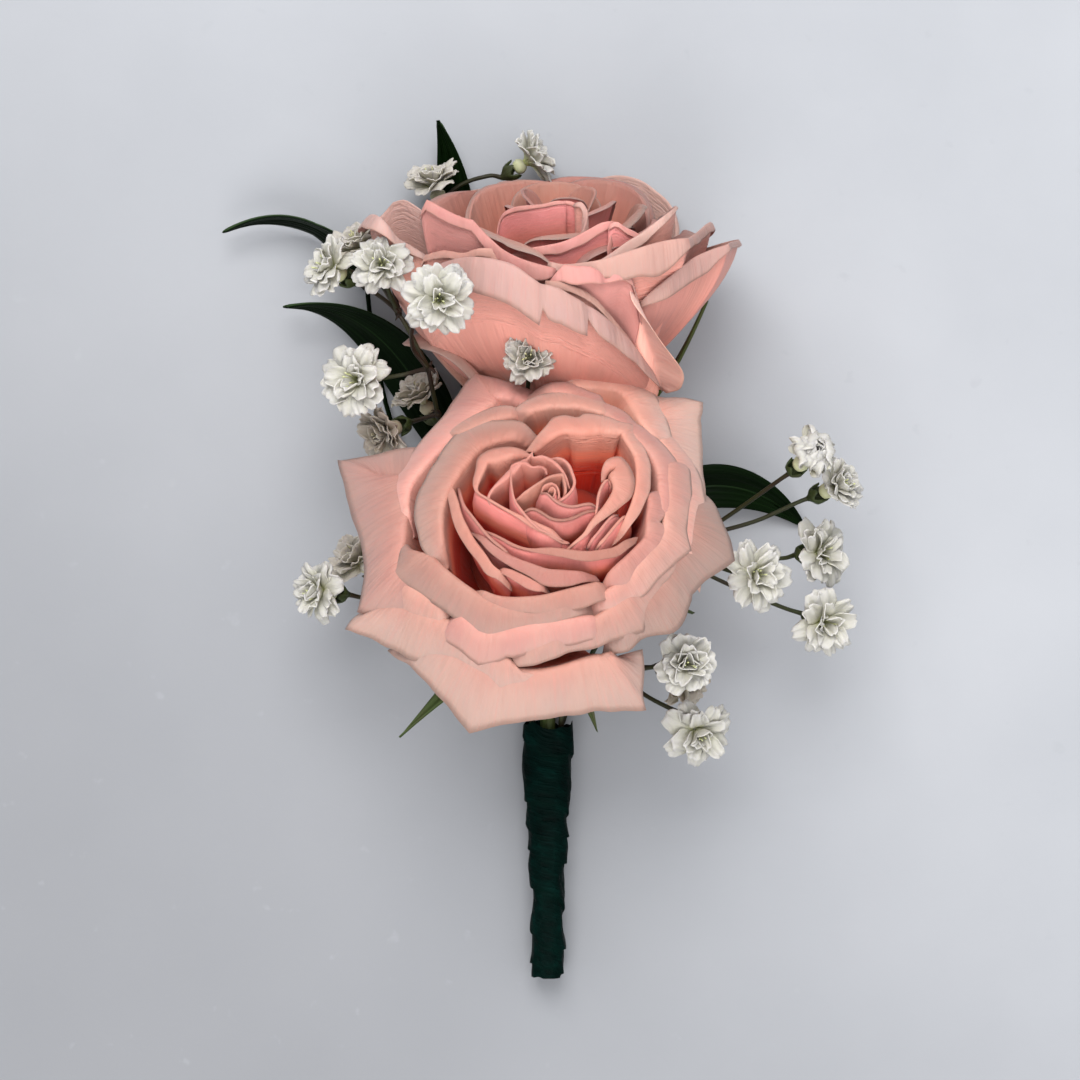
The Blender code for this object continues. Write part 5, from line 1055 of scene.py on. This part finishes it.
def blade(top, edge, out, lean, swell, big, length, rng):
    """Middle surface of a petal from its foot up a wall to the fold at top, and over to the edge."""
    columns = len(top)
    crest, high = top[:, :2], top[:, 2]
    lip = np.linalg.norm(edge - top, axis=1)
    wide = soften(out, 2.5 * big / (length[-1] / (columns - 1)))
    up = np.concatenate([wide * np.cos(lean)[:, None], np.sin(lean)[:, None]], 1)
    angle = np.unwrap(np.arctan2(crest[:, 1], crest[:, 0]))
    middle = angle[columns // 2]
    slow = 3.5 * big / (length[-1] / (columns - 1))
    calm = soften(crest, slow) if big > 0.3 else crest
    narrow = middle + (angle - middle) * (0.4 + 0.45 * (1 - big))
    foot_r = 2.2 + (0.55 * radius_of(crest) - 2.2) * (1 - big)
    foot_z = 0.5 + (high - 15.5) * (1 - big)
    foot = np.stack([foot_r * np.cos(narrow), foot_r * np.sin(narrow), foot_z * np.ones(columns)], 1)
    belly_z = foot_z + 3.5 + 2.0 * (1 - big) + (0.62 - min(swell, 0.62)) * 25.0
    belly = np.concatenate([calm * swell, (belly_z * np.ones(columns))[:, None]], 1)
    reach = 0.34 * (high - foot_z)
    walls, lips = (15, 5) if big < 0.3 else (17, 11)
    t = (np.linspace(0, 1, walls + 1) ** 0.75)[:, None, None]
    under = top - up * reach[:, None]
    under[:, :2] += 0.8 * (calm - crest)
    wall = bezier(foot, belly, under, top, t)
    s = (np.arange(1, lips + 1) / lips)[:, None, None]
    roll = np.interp(lip, (0.0, 0.5, 2.0, 4.0, 8.0), (0.0, 0.18, 0.75, 1.1, 1.2))[:, None]
    over = edge + (top - edge) * 0.50
    over = over + np.concatenate([out, np.ones((columns, 1))], 1) * (0.10 * lip)[:, None]
    points = np.concatenate([wall, bezier(top, top + up * roll, over, edge, s)])
    pale = float(np.interp(lip.mean(), (0.0, 1.0, 3.0, 5.5), (0.30, 0.45, 0.70, 1.0)))
    v = np.concatenate([FOLD_AT * t[:, 0, 0], FOLD_AT + (1 - FOLD_AT) * pale * s[:, 0, 0]])[:, None]
    swing = 0.07 * big * ripple(rng, 0.32 * length[None, :] + 3.0 * v, 3, 0.7, 2.0) * smooth((v - 0.4) / 0.3)
    points[..., 2] += swing
    edge_line = np.concatenate([np.zeros(walls + 1), smooth((s[:, 0, 0] - 0.86) / 0.14)])[:, None]
    # deep: how far a wall point sinks below its fold, the mask of the painted shade between petals
    sunk = (high[None, :] - points[..., 2]) * (v < FOLD_AT)
    values = {"along": v, "across": (2 * length / length[-1] - 1)[None, :], "grain_u": length[None, :],
              "grain_v": v * 22.0, "deep": smooth((sunk - 0.8) / 5.5), "edge": edge_line}
    return points, values


def add_petal(piece, matrix, on_table, points, values, rng, wall_light, lip_light):
    """Add a petal's middle surface to the rose, thin at its ends and rim."""
    fade = smooth((values["along"] - 0.48) / 0.18)
    # tone carries the painted light and shade of the wall and lip, plus a small random tone
    values["tone"] = wall_light + (lip_light - wall_light) * fade + rng.uniform(-1.0, 1.0)
    points = to_world(points, matrix)
    if on_table:
        points = lay_on_table(points, 0.2)
    margin = np.minimum((1 - np.abs(values["across"])) * 8, (values["along"][-1] - values["along"]) * 9)
    piece.sheet(points, 0.06 + 0.14 * np.sqrt(np.clip(margin, 0, 1)), values, -1)


def add_heart(piece, matrix):
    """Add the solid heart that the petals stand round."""
    profile = np.array(HEART_PROFILE, float)
    turn = full_turn(HEART_SIDES)
    rings = np.stack([ring(r, z, turn) for r, z in profile])
    # its upper part, between the inner petals, is darkened and reddened as painted shade
    inside = smooth((profile[:, 1:] - 14.0) / 5.0)
    piece.loft(to_world(rings, matrix), {"along": 0.15, "face": inside, "deep": inside, "open": 1.0,
                                         "tone": -8.0 * inside})


def front_rose(material):
    """Petals of the front rose, as one piece."""
    matrix = rose_matrix(FRONT_BASE, FRONT_TILT)
    piece = Piece()
    for index, (_, lift, wall_light, lip_light, knots) in enumerate(FRONT_RIMS):
        rng = np.random.default_rng(FRONT_SEED + index)
        line = smooth_line(*split_knots(knots, 3), axes=2)
        points, values = rim_sheet(lift, line, FRONT_DOME, rng)
        # the lowest petals are cream-tipped, the others run from that to pink
        values["hue"] = rng.uniform(-0.25, 0.55) if lift > -0.7 else -rng.uniform(0.3, 0.7)
        add_petal(piece, matrix, False, points, values, rng, wall_light, lip_light)
    add_heart(piece, matrix)
    piece.finish("rose_front_bloom", material, "rose_front_petals")


def rear_rose(material):
    """Petals of the rear rose, as one piece: those seen, then those hidden behind them."""
    matrix = rose_matrix(REAR_BASE, REAR_TILT)
    piece = Piece()
    for index, (_, swell, warm, wall_light, lip_light, knots) in enumerate(REAR_RIMS):
        rng = np.random.default_rng(REAR_SEED + index)
        line = smooth_line(*split_knots(knots, 5), axes=3)
        points, values = fold_sheet(swell, line, rng)
        values["warm"] = warm
        # the outside of this flower is in full light, so its painted shade is weaker, least of all on its
        # pale outer petals
        values["deep"] = values["deep"] * float(np.interp(warm, (0.0, 0.2, 0.4), (0.5, 0.35, 0.05)))
        hue = rng.uniform(-0.25, 0.55)
        values["hue"] = PINKEST if warm < 0.15 else hue
        add_petal(piece, matrix, True, points, values, rng, wall_light, lip_light)
    for index, row in enumerate(REAR_HIDDEN):
        rng = np.random.default_rng(HIDDEN_SEED + index)
        points, values = petal_sheet(row, rng)
        # painted shade on the hidden petals, low down near the middle
        low = smooth((26.0 - points[..., 2]) / 10.0)
        values["deep"] = low * smooth((15.0 - radius_of(points)) / 5.0)
        values["open"] = float(smooth((row.rim_r[1] - 14.0) / 3.0))
        values["hue"] = rng.uniform(-0.25, 0.55)
        add_petal(piece, matrix, True, points, values, rng, HIDDEN_SHADE, HIDDEN_SHADE)
    add_heart(piece, matrix)
    piece.finish("rose_rear_bloom", material, "rose_rear_petals")


def sepal_sheet(azimuth, line):
    """Middle surface of a sepal in rose axes: a narrow keeled blade with a fine curled point."""
    columns, rows = SEPAL_GRID
    knots = [np.array(p, float) for p in line]
    u = np.linspace(-1.0, 1.0, columns + 1)[None, :]
    v = np.linspace(0.0, 1.0, rows + 1)[:, None]
    r = bezier(*[k[0] for k in knots], v)
    z = bezier(*[k[1] for k in knots], v)
    half = SEPAL_HALF_WIDTH * (0.04 + 0.96 * np.sin(math.pi * v ** 0.6)) * (1.0 - 0.55 * v)
    side = u * half
    a = math.radians(azimuth)
    keel = 0.35 * np.abs(u) * half + 0.12 * np.sin(9 * v + azimuth)
    r = r * np.ones_like(u)
    points = np.stack([r * math.cos(a) - side * math.sin(a), r * math.sin(a) + side * math.cos(a),
                       z + keel], axis=-1)
    return points, {"along": v, "across": u, "grain_u": side, "grain_v": v * 24.0}


def rose_green(name, node, base, tilt, sepals, route, lane, material):
    """Hip, sepals and stem of a rose."""
    matrix = rose_matrix(base, tilt)
    piece = Piece()
    profile = smooth_route([(r, 0, z) for r, z in HIP_PROFILE[1:-1]], 5)
    turn = full_turn(HIP_SIDES)
    ribs = 1.0 + 0.02 * np.sin(5 * turn)
    rings = np.stack([ring(max(r, 0.2) * ribs, z, turn) for r, _, z in profile])
    grids = {"grain_u": (turn * 3.0)[None, :], "grain_v": np.linspace(0, 7, len(profile))[:, None]}
    piece.loft(to_world(rings, matrix), grids)
    for azimuth, line in sepals:
        points, values = sepal_sheet(azimuth, line)
        bright = azimuth == BRIGHT_SEPAL
        values["hue"] = 0.0 if bright else 0.25
        values["deep"] = (0.55 if bright else 0.0) * (1 - values["along"])
        piece.sheet(lay_on_table(to_world(points, matrix), 0.35), 0.5, values, -1)
    neck = to_world(np.array([[0.0, 0.0, -5.0]]), matrix)[0]
    height, drop = lane
    straight = np.array([(TAPE_X, TAPE_MOUTH_Y, height), (TAPE_X, TAPE_MOUTH_Y - STEM_LEVEL, height),
                         (TAPE_X, TAPE_END_Y, height - drop)])
    points = np.concatenate([smooth_route([neck, *route], 6), straight])
    radii = np.linspace(STEM_R, STEM_END_R, len(points)) * (1 + 0.03 * np.sin(np.arange(len(points))))
    piece.tube(points, radii, 18)
    piece.finish(name, material, node)


# ---------------------------------------------------------------- leaves, sprays and blooms

def slot_points(slot):
    """Inner end and mouth of a fine stem's place in the sleeve."""
    side, row = slot
    x = TAPE_X + side * SLOT_X
    return [(x, TAPE_MOUTH_Y - SLOT_DEPTH, SLOT_Z[row]), (x, TAPE_MOUTH_Y + SLOT_REACH, SLOT_Z[row])]


def leaf(name, slot, petiole, line, solid_half_width, roll, material):
    """A pointed leaf on its petiole, with raised parallel veins."""
    half_width = LEAF_SLIM[name] * solid_half_width
    knots = [np.array(p, float) for p in line]
    columns, rows = LEAF_GRID
    u = np.linspace(-1.0, 1.0, columns + 1)[None, :]
    v = np.linspace(0.0, 1.0, rows + 1)
    t = v[:, None]
    centre = bezier(*knots, t)
    ahead = bezier(*knots, np.minimum(t + 0.01, 1.0)) - bezier(*knots, np.maximum(t - 0.01, 0.0))
    ahead = unit(ahead)
    level = unit(np.stack([ahead[:, 1], -ahead[:, 0], np.zeros(len(v))], axis=1))
    upper = np.cross(level, ahead)
    turn = np.radians(np.interp(v, (0.0, 0.5, 1.0), roll))[:, None]
    across = level * np.cos(turn) + upper * np.sin(turn)
    normal = upper * np.cos(turn) - level * np.sin(turn)
    half = half_width * (0.06 + 0.94 * np.sin(math.pi * v ** 0.75) ** 0.8) * (1.0 - 0.06 * v)
    half = half * (1.0 - 0.9 * smooth((v - 0.97) / 0.03))
    side = u * half[:, None]
    fold = 0.16 * np.abs(side) + 0.05 * np.sin(u * 26.0) * (1 - u * u) + 0.12 * np.sin(7 * v)[:, None] * u
    points = centre[:, None, :] + across[:, None, :] * side[..., None] + normal[:, None, :] * fold[..., None]
    length = np.linalg.norm(knots[3] - knots[0])
    piece = Piece()
    values = {"along": v[:, None], "across": u, "grain_u": u * half_width, "grain_v": v[:, None] * length,
              "tone": half_width / 10}
    thin = 0.16 + 0.34 * np.clip((1 - np.abs(u)) * 4, 0, 1)
    piece.sheet(lay_on_table(points, 0.3), thin * np.ones_like(side), values)
    root = knots[0] + 0.12 * (knots[1] - knots[0])
    inner_end, mouth = slot_points(slot)
    route = np.concatenate([[inner_end], smooth_route([mouth, *petiole, root], 8)])
    piece.tube(route, np.full(len(route), FINE_STEM_R), 10, face=1.0, across=1.0)
    piece.finish(name + "_blade", material, name)


def bloom(name, form, foot, turn, seed, material):
    """A double bloom: whorls of thin crumpled petals round a green-cream middle with fine stamens."""
    rng = np.random.default_rng(seed)
    reach, height, closed = BLOOM_FORMS[form]
    closed = BLOOM_CLOSED.get(name, closed)
    scale = BLOOM_SIZE.get(name, 1.0)
    matrix = np.array(Matrix.Translation(foot) @ turn)
    piece = Piece()
    shade_grey = BLOOM_SHADE.get(name, 0.0)
    phase = rng.uniform(0, 2 * math.pi)
    u = np.linspace(-1.0, 1.0, 13)[None, :]
    v = np.linspace(0.0, 1.0, 15)[:, None]
    for level, (count, lean, share, half_width) in enumerate(BLOOM_WHORLS):
        for k in range(count):
            azimuth = phase + 0.5 * level + 2 * math.pi * (k + rng.uniform(-0.30, 0.30)) / count
            end = math.radians(lean * (1.0 - 0.42 * closed) * rng.uniform(0.78, 1.14))
            recurve = rng.uniform(-0.2, 1.0) * (1.0 - closed) - 6.4 * end * max(closed - 0.5, 0.0)
            size = share * scale * (reach + 1.5) * rng.uniform(0.86, 1.04)
            s = np.linspace(0.0, 1.0, 31)
            tilt = 0.12 + (end - 0.12) * smooth(s / 0.55) + recurve * smooth((s - 0.55) / 0.45)
            path_r = 0.30 + size / 30 * np.concatenate([[0], np.cumsum(np.sin(tilt[1:]))])
            path_z = 1.10 + size / 30 * np.concatenate([[0], np.cumsum(np.cos(tilt[1:]))])
            notch = rng.uniform(0.02, 0.13) * np.exp(-np.abs(u - rng.uniform(-0.25, 0.25)) / 0.14)
            frill = 0.022 * ripple(rng, u, 3, 6.0, 15.0)
            far = v * (1.0 - smooth((v - 0.5) / 0.5) * (0.26 * u ** 4 + notch - frill))
            r, z, lie = (np.interp(far, s, path) for path in (path_r, path_z, tilt))
            width = half_width * scale * (0.13 + 0.87 * smooth((v - 0.14) / 0.48))
            width = width * (1 - 0.10 * smooth((v - 0.78) / 0.22))
            side = u * width * rng.uniform(0.82, 1.10)
            pillow = rng.uniform(-0.75, 0.15) + 0.35 * level * (level > 1) + 0.5 * closed
            crumple = 0.20 * np.cos(rng.uniform(3.5, 8.0) * u + rng.uniform(0, 6.3))
            crumple = smooth((v - 0.30) / 0.5) * (crumple + 0.12 * ripple(rng, 3 * v + 2 * u, 3, 2.0, 5.0))
            crumple = crumple + 0.09 * smooth((v - 0.75) / 0.25) * ripple(rng, u, 3, 8.0, 15.0)
            raised = pillow * u ** 2 * smooth((v - 0.15) / 0.4) + crumple
            roll = rng.uniform(-0.35, 0.35) * u * smooth(v)
            rr = np.minimum(r - np.cos(lie) * (raised + roll), reach + 0.35)
            zz = np.clip(z + np.sin(lie) * (raised + roll), 0.6, height + 0.4)
            c, s = math.cos(azimuth), math.sin(azimuth)
            points = np.stack([rr * c - side * s, rr * s + side * c, zz], axis=-1)
            values = {"along": 0.08 + 0.92 * v, "across": u, "grain_u": side,
                      "grain_v": v * size, "tone": rng.uniform(), "hue": shade_grey * rng.uniform(0.7, 1.1)}
            piece.sheet(to_world(points, matrix), 0.11 * np.ones_like(side), values, -1)
    for _ in range(0 if closed > 0.9 else STAMENS):
        azimuth = rng.uniform(0, 2 * math.pi)
        lean = rng.uniform(0.05, 0.30) * reach
        tip = height + rng.uniform(-1.6, -0.5)
        route = np.array([(0.1, 0, 1.2), (0.4 * lean, 0, 0.6 * tip), (lean, 0, tip)])
        c, s = math.cos(azimuth), math.sin(azimuth)
        route = np.stack([route[:, 0] * c, route[:, 0] * s, route[:, 2]], 1)
        route = smooth_route(route, 4)
        piece.tube(to_world(route, matrix), 0.06 + 0.05 * (np.arange(len(route)) > len(route) - 3), 6,
                   along=0.34, hue=shade_grey)
    # receptacle
    around = full_turn(RECEPTACLE_SIDES)
    rings = np.stack([ring(r, z, around) for r, z in RECEPTACLE])
    grids = {"along": np.linspace(0.34, 0.48, len(RECEPTACLE))[:, None], "hue": shade_grey}
    piece.loft(to_world(rings, matrix), grids)
    piece.finish(name + "_petals", material, name)


def spray(name, slot, trunk, stems, seed, material, white):
    """Stems and calyxes of a spray, and its blooms."""
    rng = np.random.default_rng(seed)
    piece = Piece()
    inner_end, mouth = slot_points(slot)
    route = np.concatenate([[inner_end], smooth_route([mouth, *trunk], 8)])
    piece.tube(route, FINE_STEM_R * np.linspace(1.1, 0.95, len(route)), 10, hue=0.1)
    joints = []
    for index, (points, (bloom_name, form, centre, facing)) in enumerate(stems):
        face = Vector(facing).normalized()
        foot = Vector(centre) - BLOOM_CENTRE * face
        end = foot - (SEAT_GAP + 0.9 * CALYX_LENGTH) * face
        route = smooth_route([*points, tuple(end)], 8)
        flare = 1.0 + 0.5 * np.exp(-np.arange(len(route)) / 1.5)
        swell = 1.0 + 0.35 * np.exp(-(len(route) - 1 - np.arange(len(route))) / 2.0)
        hue = np.linspace(0.5, 0.0, len(route)) + 0.2 * rng.uniform()
        piece.tube(route, 0.30 * flare * swell, 10, hue=hue, tone=rng.uniform())
        joints.append(np.array(points[0]))
        turn = face.to_track_quat("Z", "Y").to_matrix().to_4x4()
        place = np.array(Matrix.Translation(foot - (SEAT_GAP + CALYX_LENGTH) * face) @ turn)
        around = full_turn(CALYX_SIDES)
        teeth = 0.5 + 0.5 * np.cos(CALYX_TEETH * around)
        rings = []
        for k in range(9):
            t = k / 8
            r = 0.42 + (CALYX_R - 0.36) * smooth(t * 1.25) + 0.12 * t * teeth
            z = CALYX_LENGTH * t * (0.80 + 0.55 * teeth * t)
            rings.append(ring(r, z, around))
        for k in range(3):
            t = 1 - 0.3 * k
            r = (CALYX_R - 0.12) * (0.98 - 0.25 * k)
            z = CALYX_LENGTH * t * (0.80 + 0.55 * teeth * t) - 0.15
            rings.append(ring(r, z, around))
        rise = np.linspace(0, 1, len(rings))[:, None]
        grids = {"grain_u": (around * 1.2)[None, :], "grain_v": 2 * rise,
                 "deep": 0.35 + 0.3 * rise, "tone": rng.uniform()}
        piece.loft(to_world(np.array(rings), place), grids)
        bloom(bloom_name, form, foot, turn, seed * 50 + index, white)
    # swollen nodes with papery bracts where stems part
    for joint in joints:
        knob = np.array([joint + np.array((0, -0.5, -0.1)), joint, joint + np.array((0, 0.5, 0.1))])
        piece.tube(knob, np.array((0.32, 0.52, 0.30)), 10, hue=0.9)
        for _ in range(2):
            out = rng.normal(size=3)
            out /= np.linalg.norm(out)
            tip = joint + out * rng.uniform(0.9, 1.5)
            bract = np.array([joint, (joint + tip) / 2 + 0.15, tip])
            piece.tube(bract, np.array((0.28, 0.22, 0.05)), 6, hue=1.0)
    piece.finish(name + "_stems", material, name)


# ---------------------------------------------------------------- tape

def tape(material):
    """Floral tape wound down the stems: overlapping turns with stretched, slightly raised edges."""
    around, along = TAPE_GRID
    stations, widths, heights = (np.array(column) for column in zip(*TAPE_SECTIONS))
    length = TAPE_MOUTH_Y - TAPE_END_Y
    turn = np.arange(around)[None, :] / around
    down = np.linspace(0, length, along)[:, None]
    half_w = np.interp(down, stations, widths) - TAPE_WALL
    half_h = np.interp(down, stations, heights) / 2.0 - TAPE_WALL
    angle = 2.0 * math.pi * turn
    c, s = np.cos(angle), np.sin(angle)
    pitch = down / length * TAPE_WRAPS + 0.30 * np.sin(0.35 * down + 1.0)
    pitch = pitch + 0.10 * np.sin(2 * angle + 0.5 * down)
    saw = (pitch + turn) % 1.0
    step = 0.36 * saw ** 1.6 - 0.05
    lump = 0.13 * np.sin(2 * angle + 0.45 * down) + 0.09 * np.sin(3 * angle - 0.8 * down + 1.3)
    lump = lump + 0.05 * np.sin(0.9 * down + angle) + 0.03 * np.sin(11 * angle + 2.0 * down)
    grow = TAPE_WALL + step + lump
    side_x = np.sign(c) * np.abs(c) ** TAPE_SQUARE * half_w
    side_z = np.sign(s) * np.abs(s) ** TAPE_SQUARE * half_h
    x = side_x + c * grow
    z = side_z + s * (TAPE_WALL + 0.5 * (step + lump))
    z = np.maximum(half_h + TAPE_WALL + z, 0.03)
    ragged = 0.35 * np.sin(3 * angle + 1) + 0.2 * np.sin(7 * angle)
    y = TAPE_MOUTH_Y - down + np.zeros_like(c)
    y = y + ragged * np.exp(-(length - down) / 1.0) * 0.5 + (1.5 + 1.2 * ragged) * np.exp(-down / 1.6)
    y = np.maximum(y, TAPE_END_Y)
    outer = np.stack([TAPE_X + x, y * np.ones_like(x), z], axis=-1)
    inner_z = half_h + TAPE_WALL + side_z
    inner = np.stack([TAPE_X + side_x, TAPE_MOUTH_Y - down + np.zeros_like(side_x), inner_z], axis=-1)
    inner[:, :, 1] = np.clip(inner[:, :, 1], TAPE_END_Y + 0.2, TAPE_MOUTH_Y - 0.2)
    piece = Piece()
    edge = np.exp(-saw / 0.06) + 0.6 * np.exp(-(1 - saw) / 0.03)
    rings = np.concatenate([outer, inner[::-1]])
    grids = {"grain_u": np.concatenate([angle * 3.0 + 0 * down] * 2),
             "grain_v": np.concatenate([down + turn * 5.0, (down + turn * 5.0)[::-1]]),
             "along": np.concatenate([down / length + 0 * turn] * 2),
             "hue": np.concatenate([edge, 0.8 + 0 * edge])}
    rings = np.concatenate([rings, rings[:1]])
    grids = {name: np.concatenate([value, value[:1]]) for name, value in grids.items()}
    piece.loft(rings, grids, closed_ends=False)
    piece.finish("tape_wound", material, "tape_wrap")


# ---------------------------------------------------------------- stage

def studio():
    """Pale board, soft overhead light and a camera that looks straight down."""
    centre = SHIFT * MM
    scene = bpy.context.scene
    camera = bpy.data.objects.new("camera", bpy.data.cameras.new("camera"))
    scene.collection.objects.link(camera)
    camera.location = (centre[0], centre[1], centre[2] + CAMERA_HEIGHT * MM)
    camera.data.sensor_width = SENSOR_WIDTH
    camera.data.lens = SENSOR_WIDTH * CAMERA_HEIGHT / (PHOTO_WIDTH * MM_PER_PIXEL)
    camera.data.clip_start = 0.01
    scene.camera = camera
    scene.view_settings.view_transform = "Standard"

    world = bpy.data.worlds.new("studio")
    scene.world = world
    world.use_nodes = True
    back = world.node_tree.nodes["Background"]
    back.inputs["Color"].default_value = (0.90, 0.94, 1.0, 1.0)
    back.inputs["Strength"].default_value = 0.82
    for name, place, size, power in LIGHTS:
        light = bpy.data.lights.new(name, "AREA")
        light.energy = power
        light.size = size
        obj = bpy.data.objects.new(name, light)
        obj.location = Vector(place) + Vector(centre)
        obj.rotation_mode = "QUATERNION"
        obj.rotation_quaternion = (-Vector(place)).to_track_quat("-Z", "Y")
        scene.collection.objects.link(obj)

    mesh = bpy.data.meshes.new("floor")
    corners = [(x * FLOOR_HALF, y * FLOOR_HALF, 0) for x, y in ((-1, -1), (1, -1), (1, 1), (-1, 1))]
    mesh.from_pydata(corners, [], [(0, 1, 2, 3)])
    floor = bpy.data.objects.new("floor", mesh)
    scene.collection.objects.link(floor)
    n = Nodes("board", Roughness=0.8)
    where = n.node("TexCoord").outputs["Object"]
    cloud = n.node("TexNoise", (("Vector", where), ("Scale", 22.0), ("Detail", 5.0))).outputs["Fac"]
    speck = n.node("TexNoise", (("Vector", where), ("Scale", 260.0), ("Detail", 3.0))).outputs["Fac"]
    colour = n.ramp(cloud, (0.3, (0.272, 0.278, 0.293)), (0.7, (0.304, 0.309, 0.324)))
    # painted light falloff: the board is darker toward its lower left
    slope = n.node("VectorMath", ((0, where), (1, (1.0, 1.0, 0.0))), operation="DOT_PRODUCT").outputs["Value"]
    colour = n.mix(n.span(slope, -0.14, 0.08, 0.57, 0.0), colour, (0.10, 0.10, 0.105))
    colour = n.mix(n.span(speck, 0.66, 0.76, 0.0, 0.35), colour, (0.25, 0.257, 0.268))
    mesh.materials.append(n.done(colour, n.bump(speck, 0.0003, 0.2)))


def main():
    """Make every piece."""
    petals = petal_material()
    white = bloom_material()
    green = green_material("rose_green", (0.045, 0.070, 0.014), (0.045, 0.036, 0.013))
    stem = green_material("spray_green", (0.022, 0.028, 0.007), (0.018, 0.009, 0.005))
    dark = leaf_material()
    front_rose(petals)
    rear_rose(petals)
    rose_green("rose_front_green", "rose_front_stem", FRONT_BASE, FRONT_TILT, FRONT_SEPALS, FRONT_STEM,
               (STEM_HIGH_Z, STEM_HIGH_DROP), green)
    rose_green("rose_rear_green", "rose_rear_stem", REAR_BASE, REAR_TILT, REAR_SEPALS, REAR_STEM,
               (STEM_LOW_Z, STEM_LOW_DROP), green)
    for row in LEAVES:
        leaf(*row, dark)
    for index, row in enumerate(SPRAYS):
        spray(*row, 11 + index, stem, white)
    tape(tape_material())
    studio()


main()

bpy.context.view_layer.update()
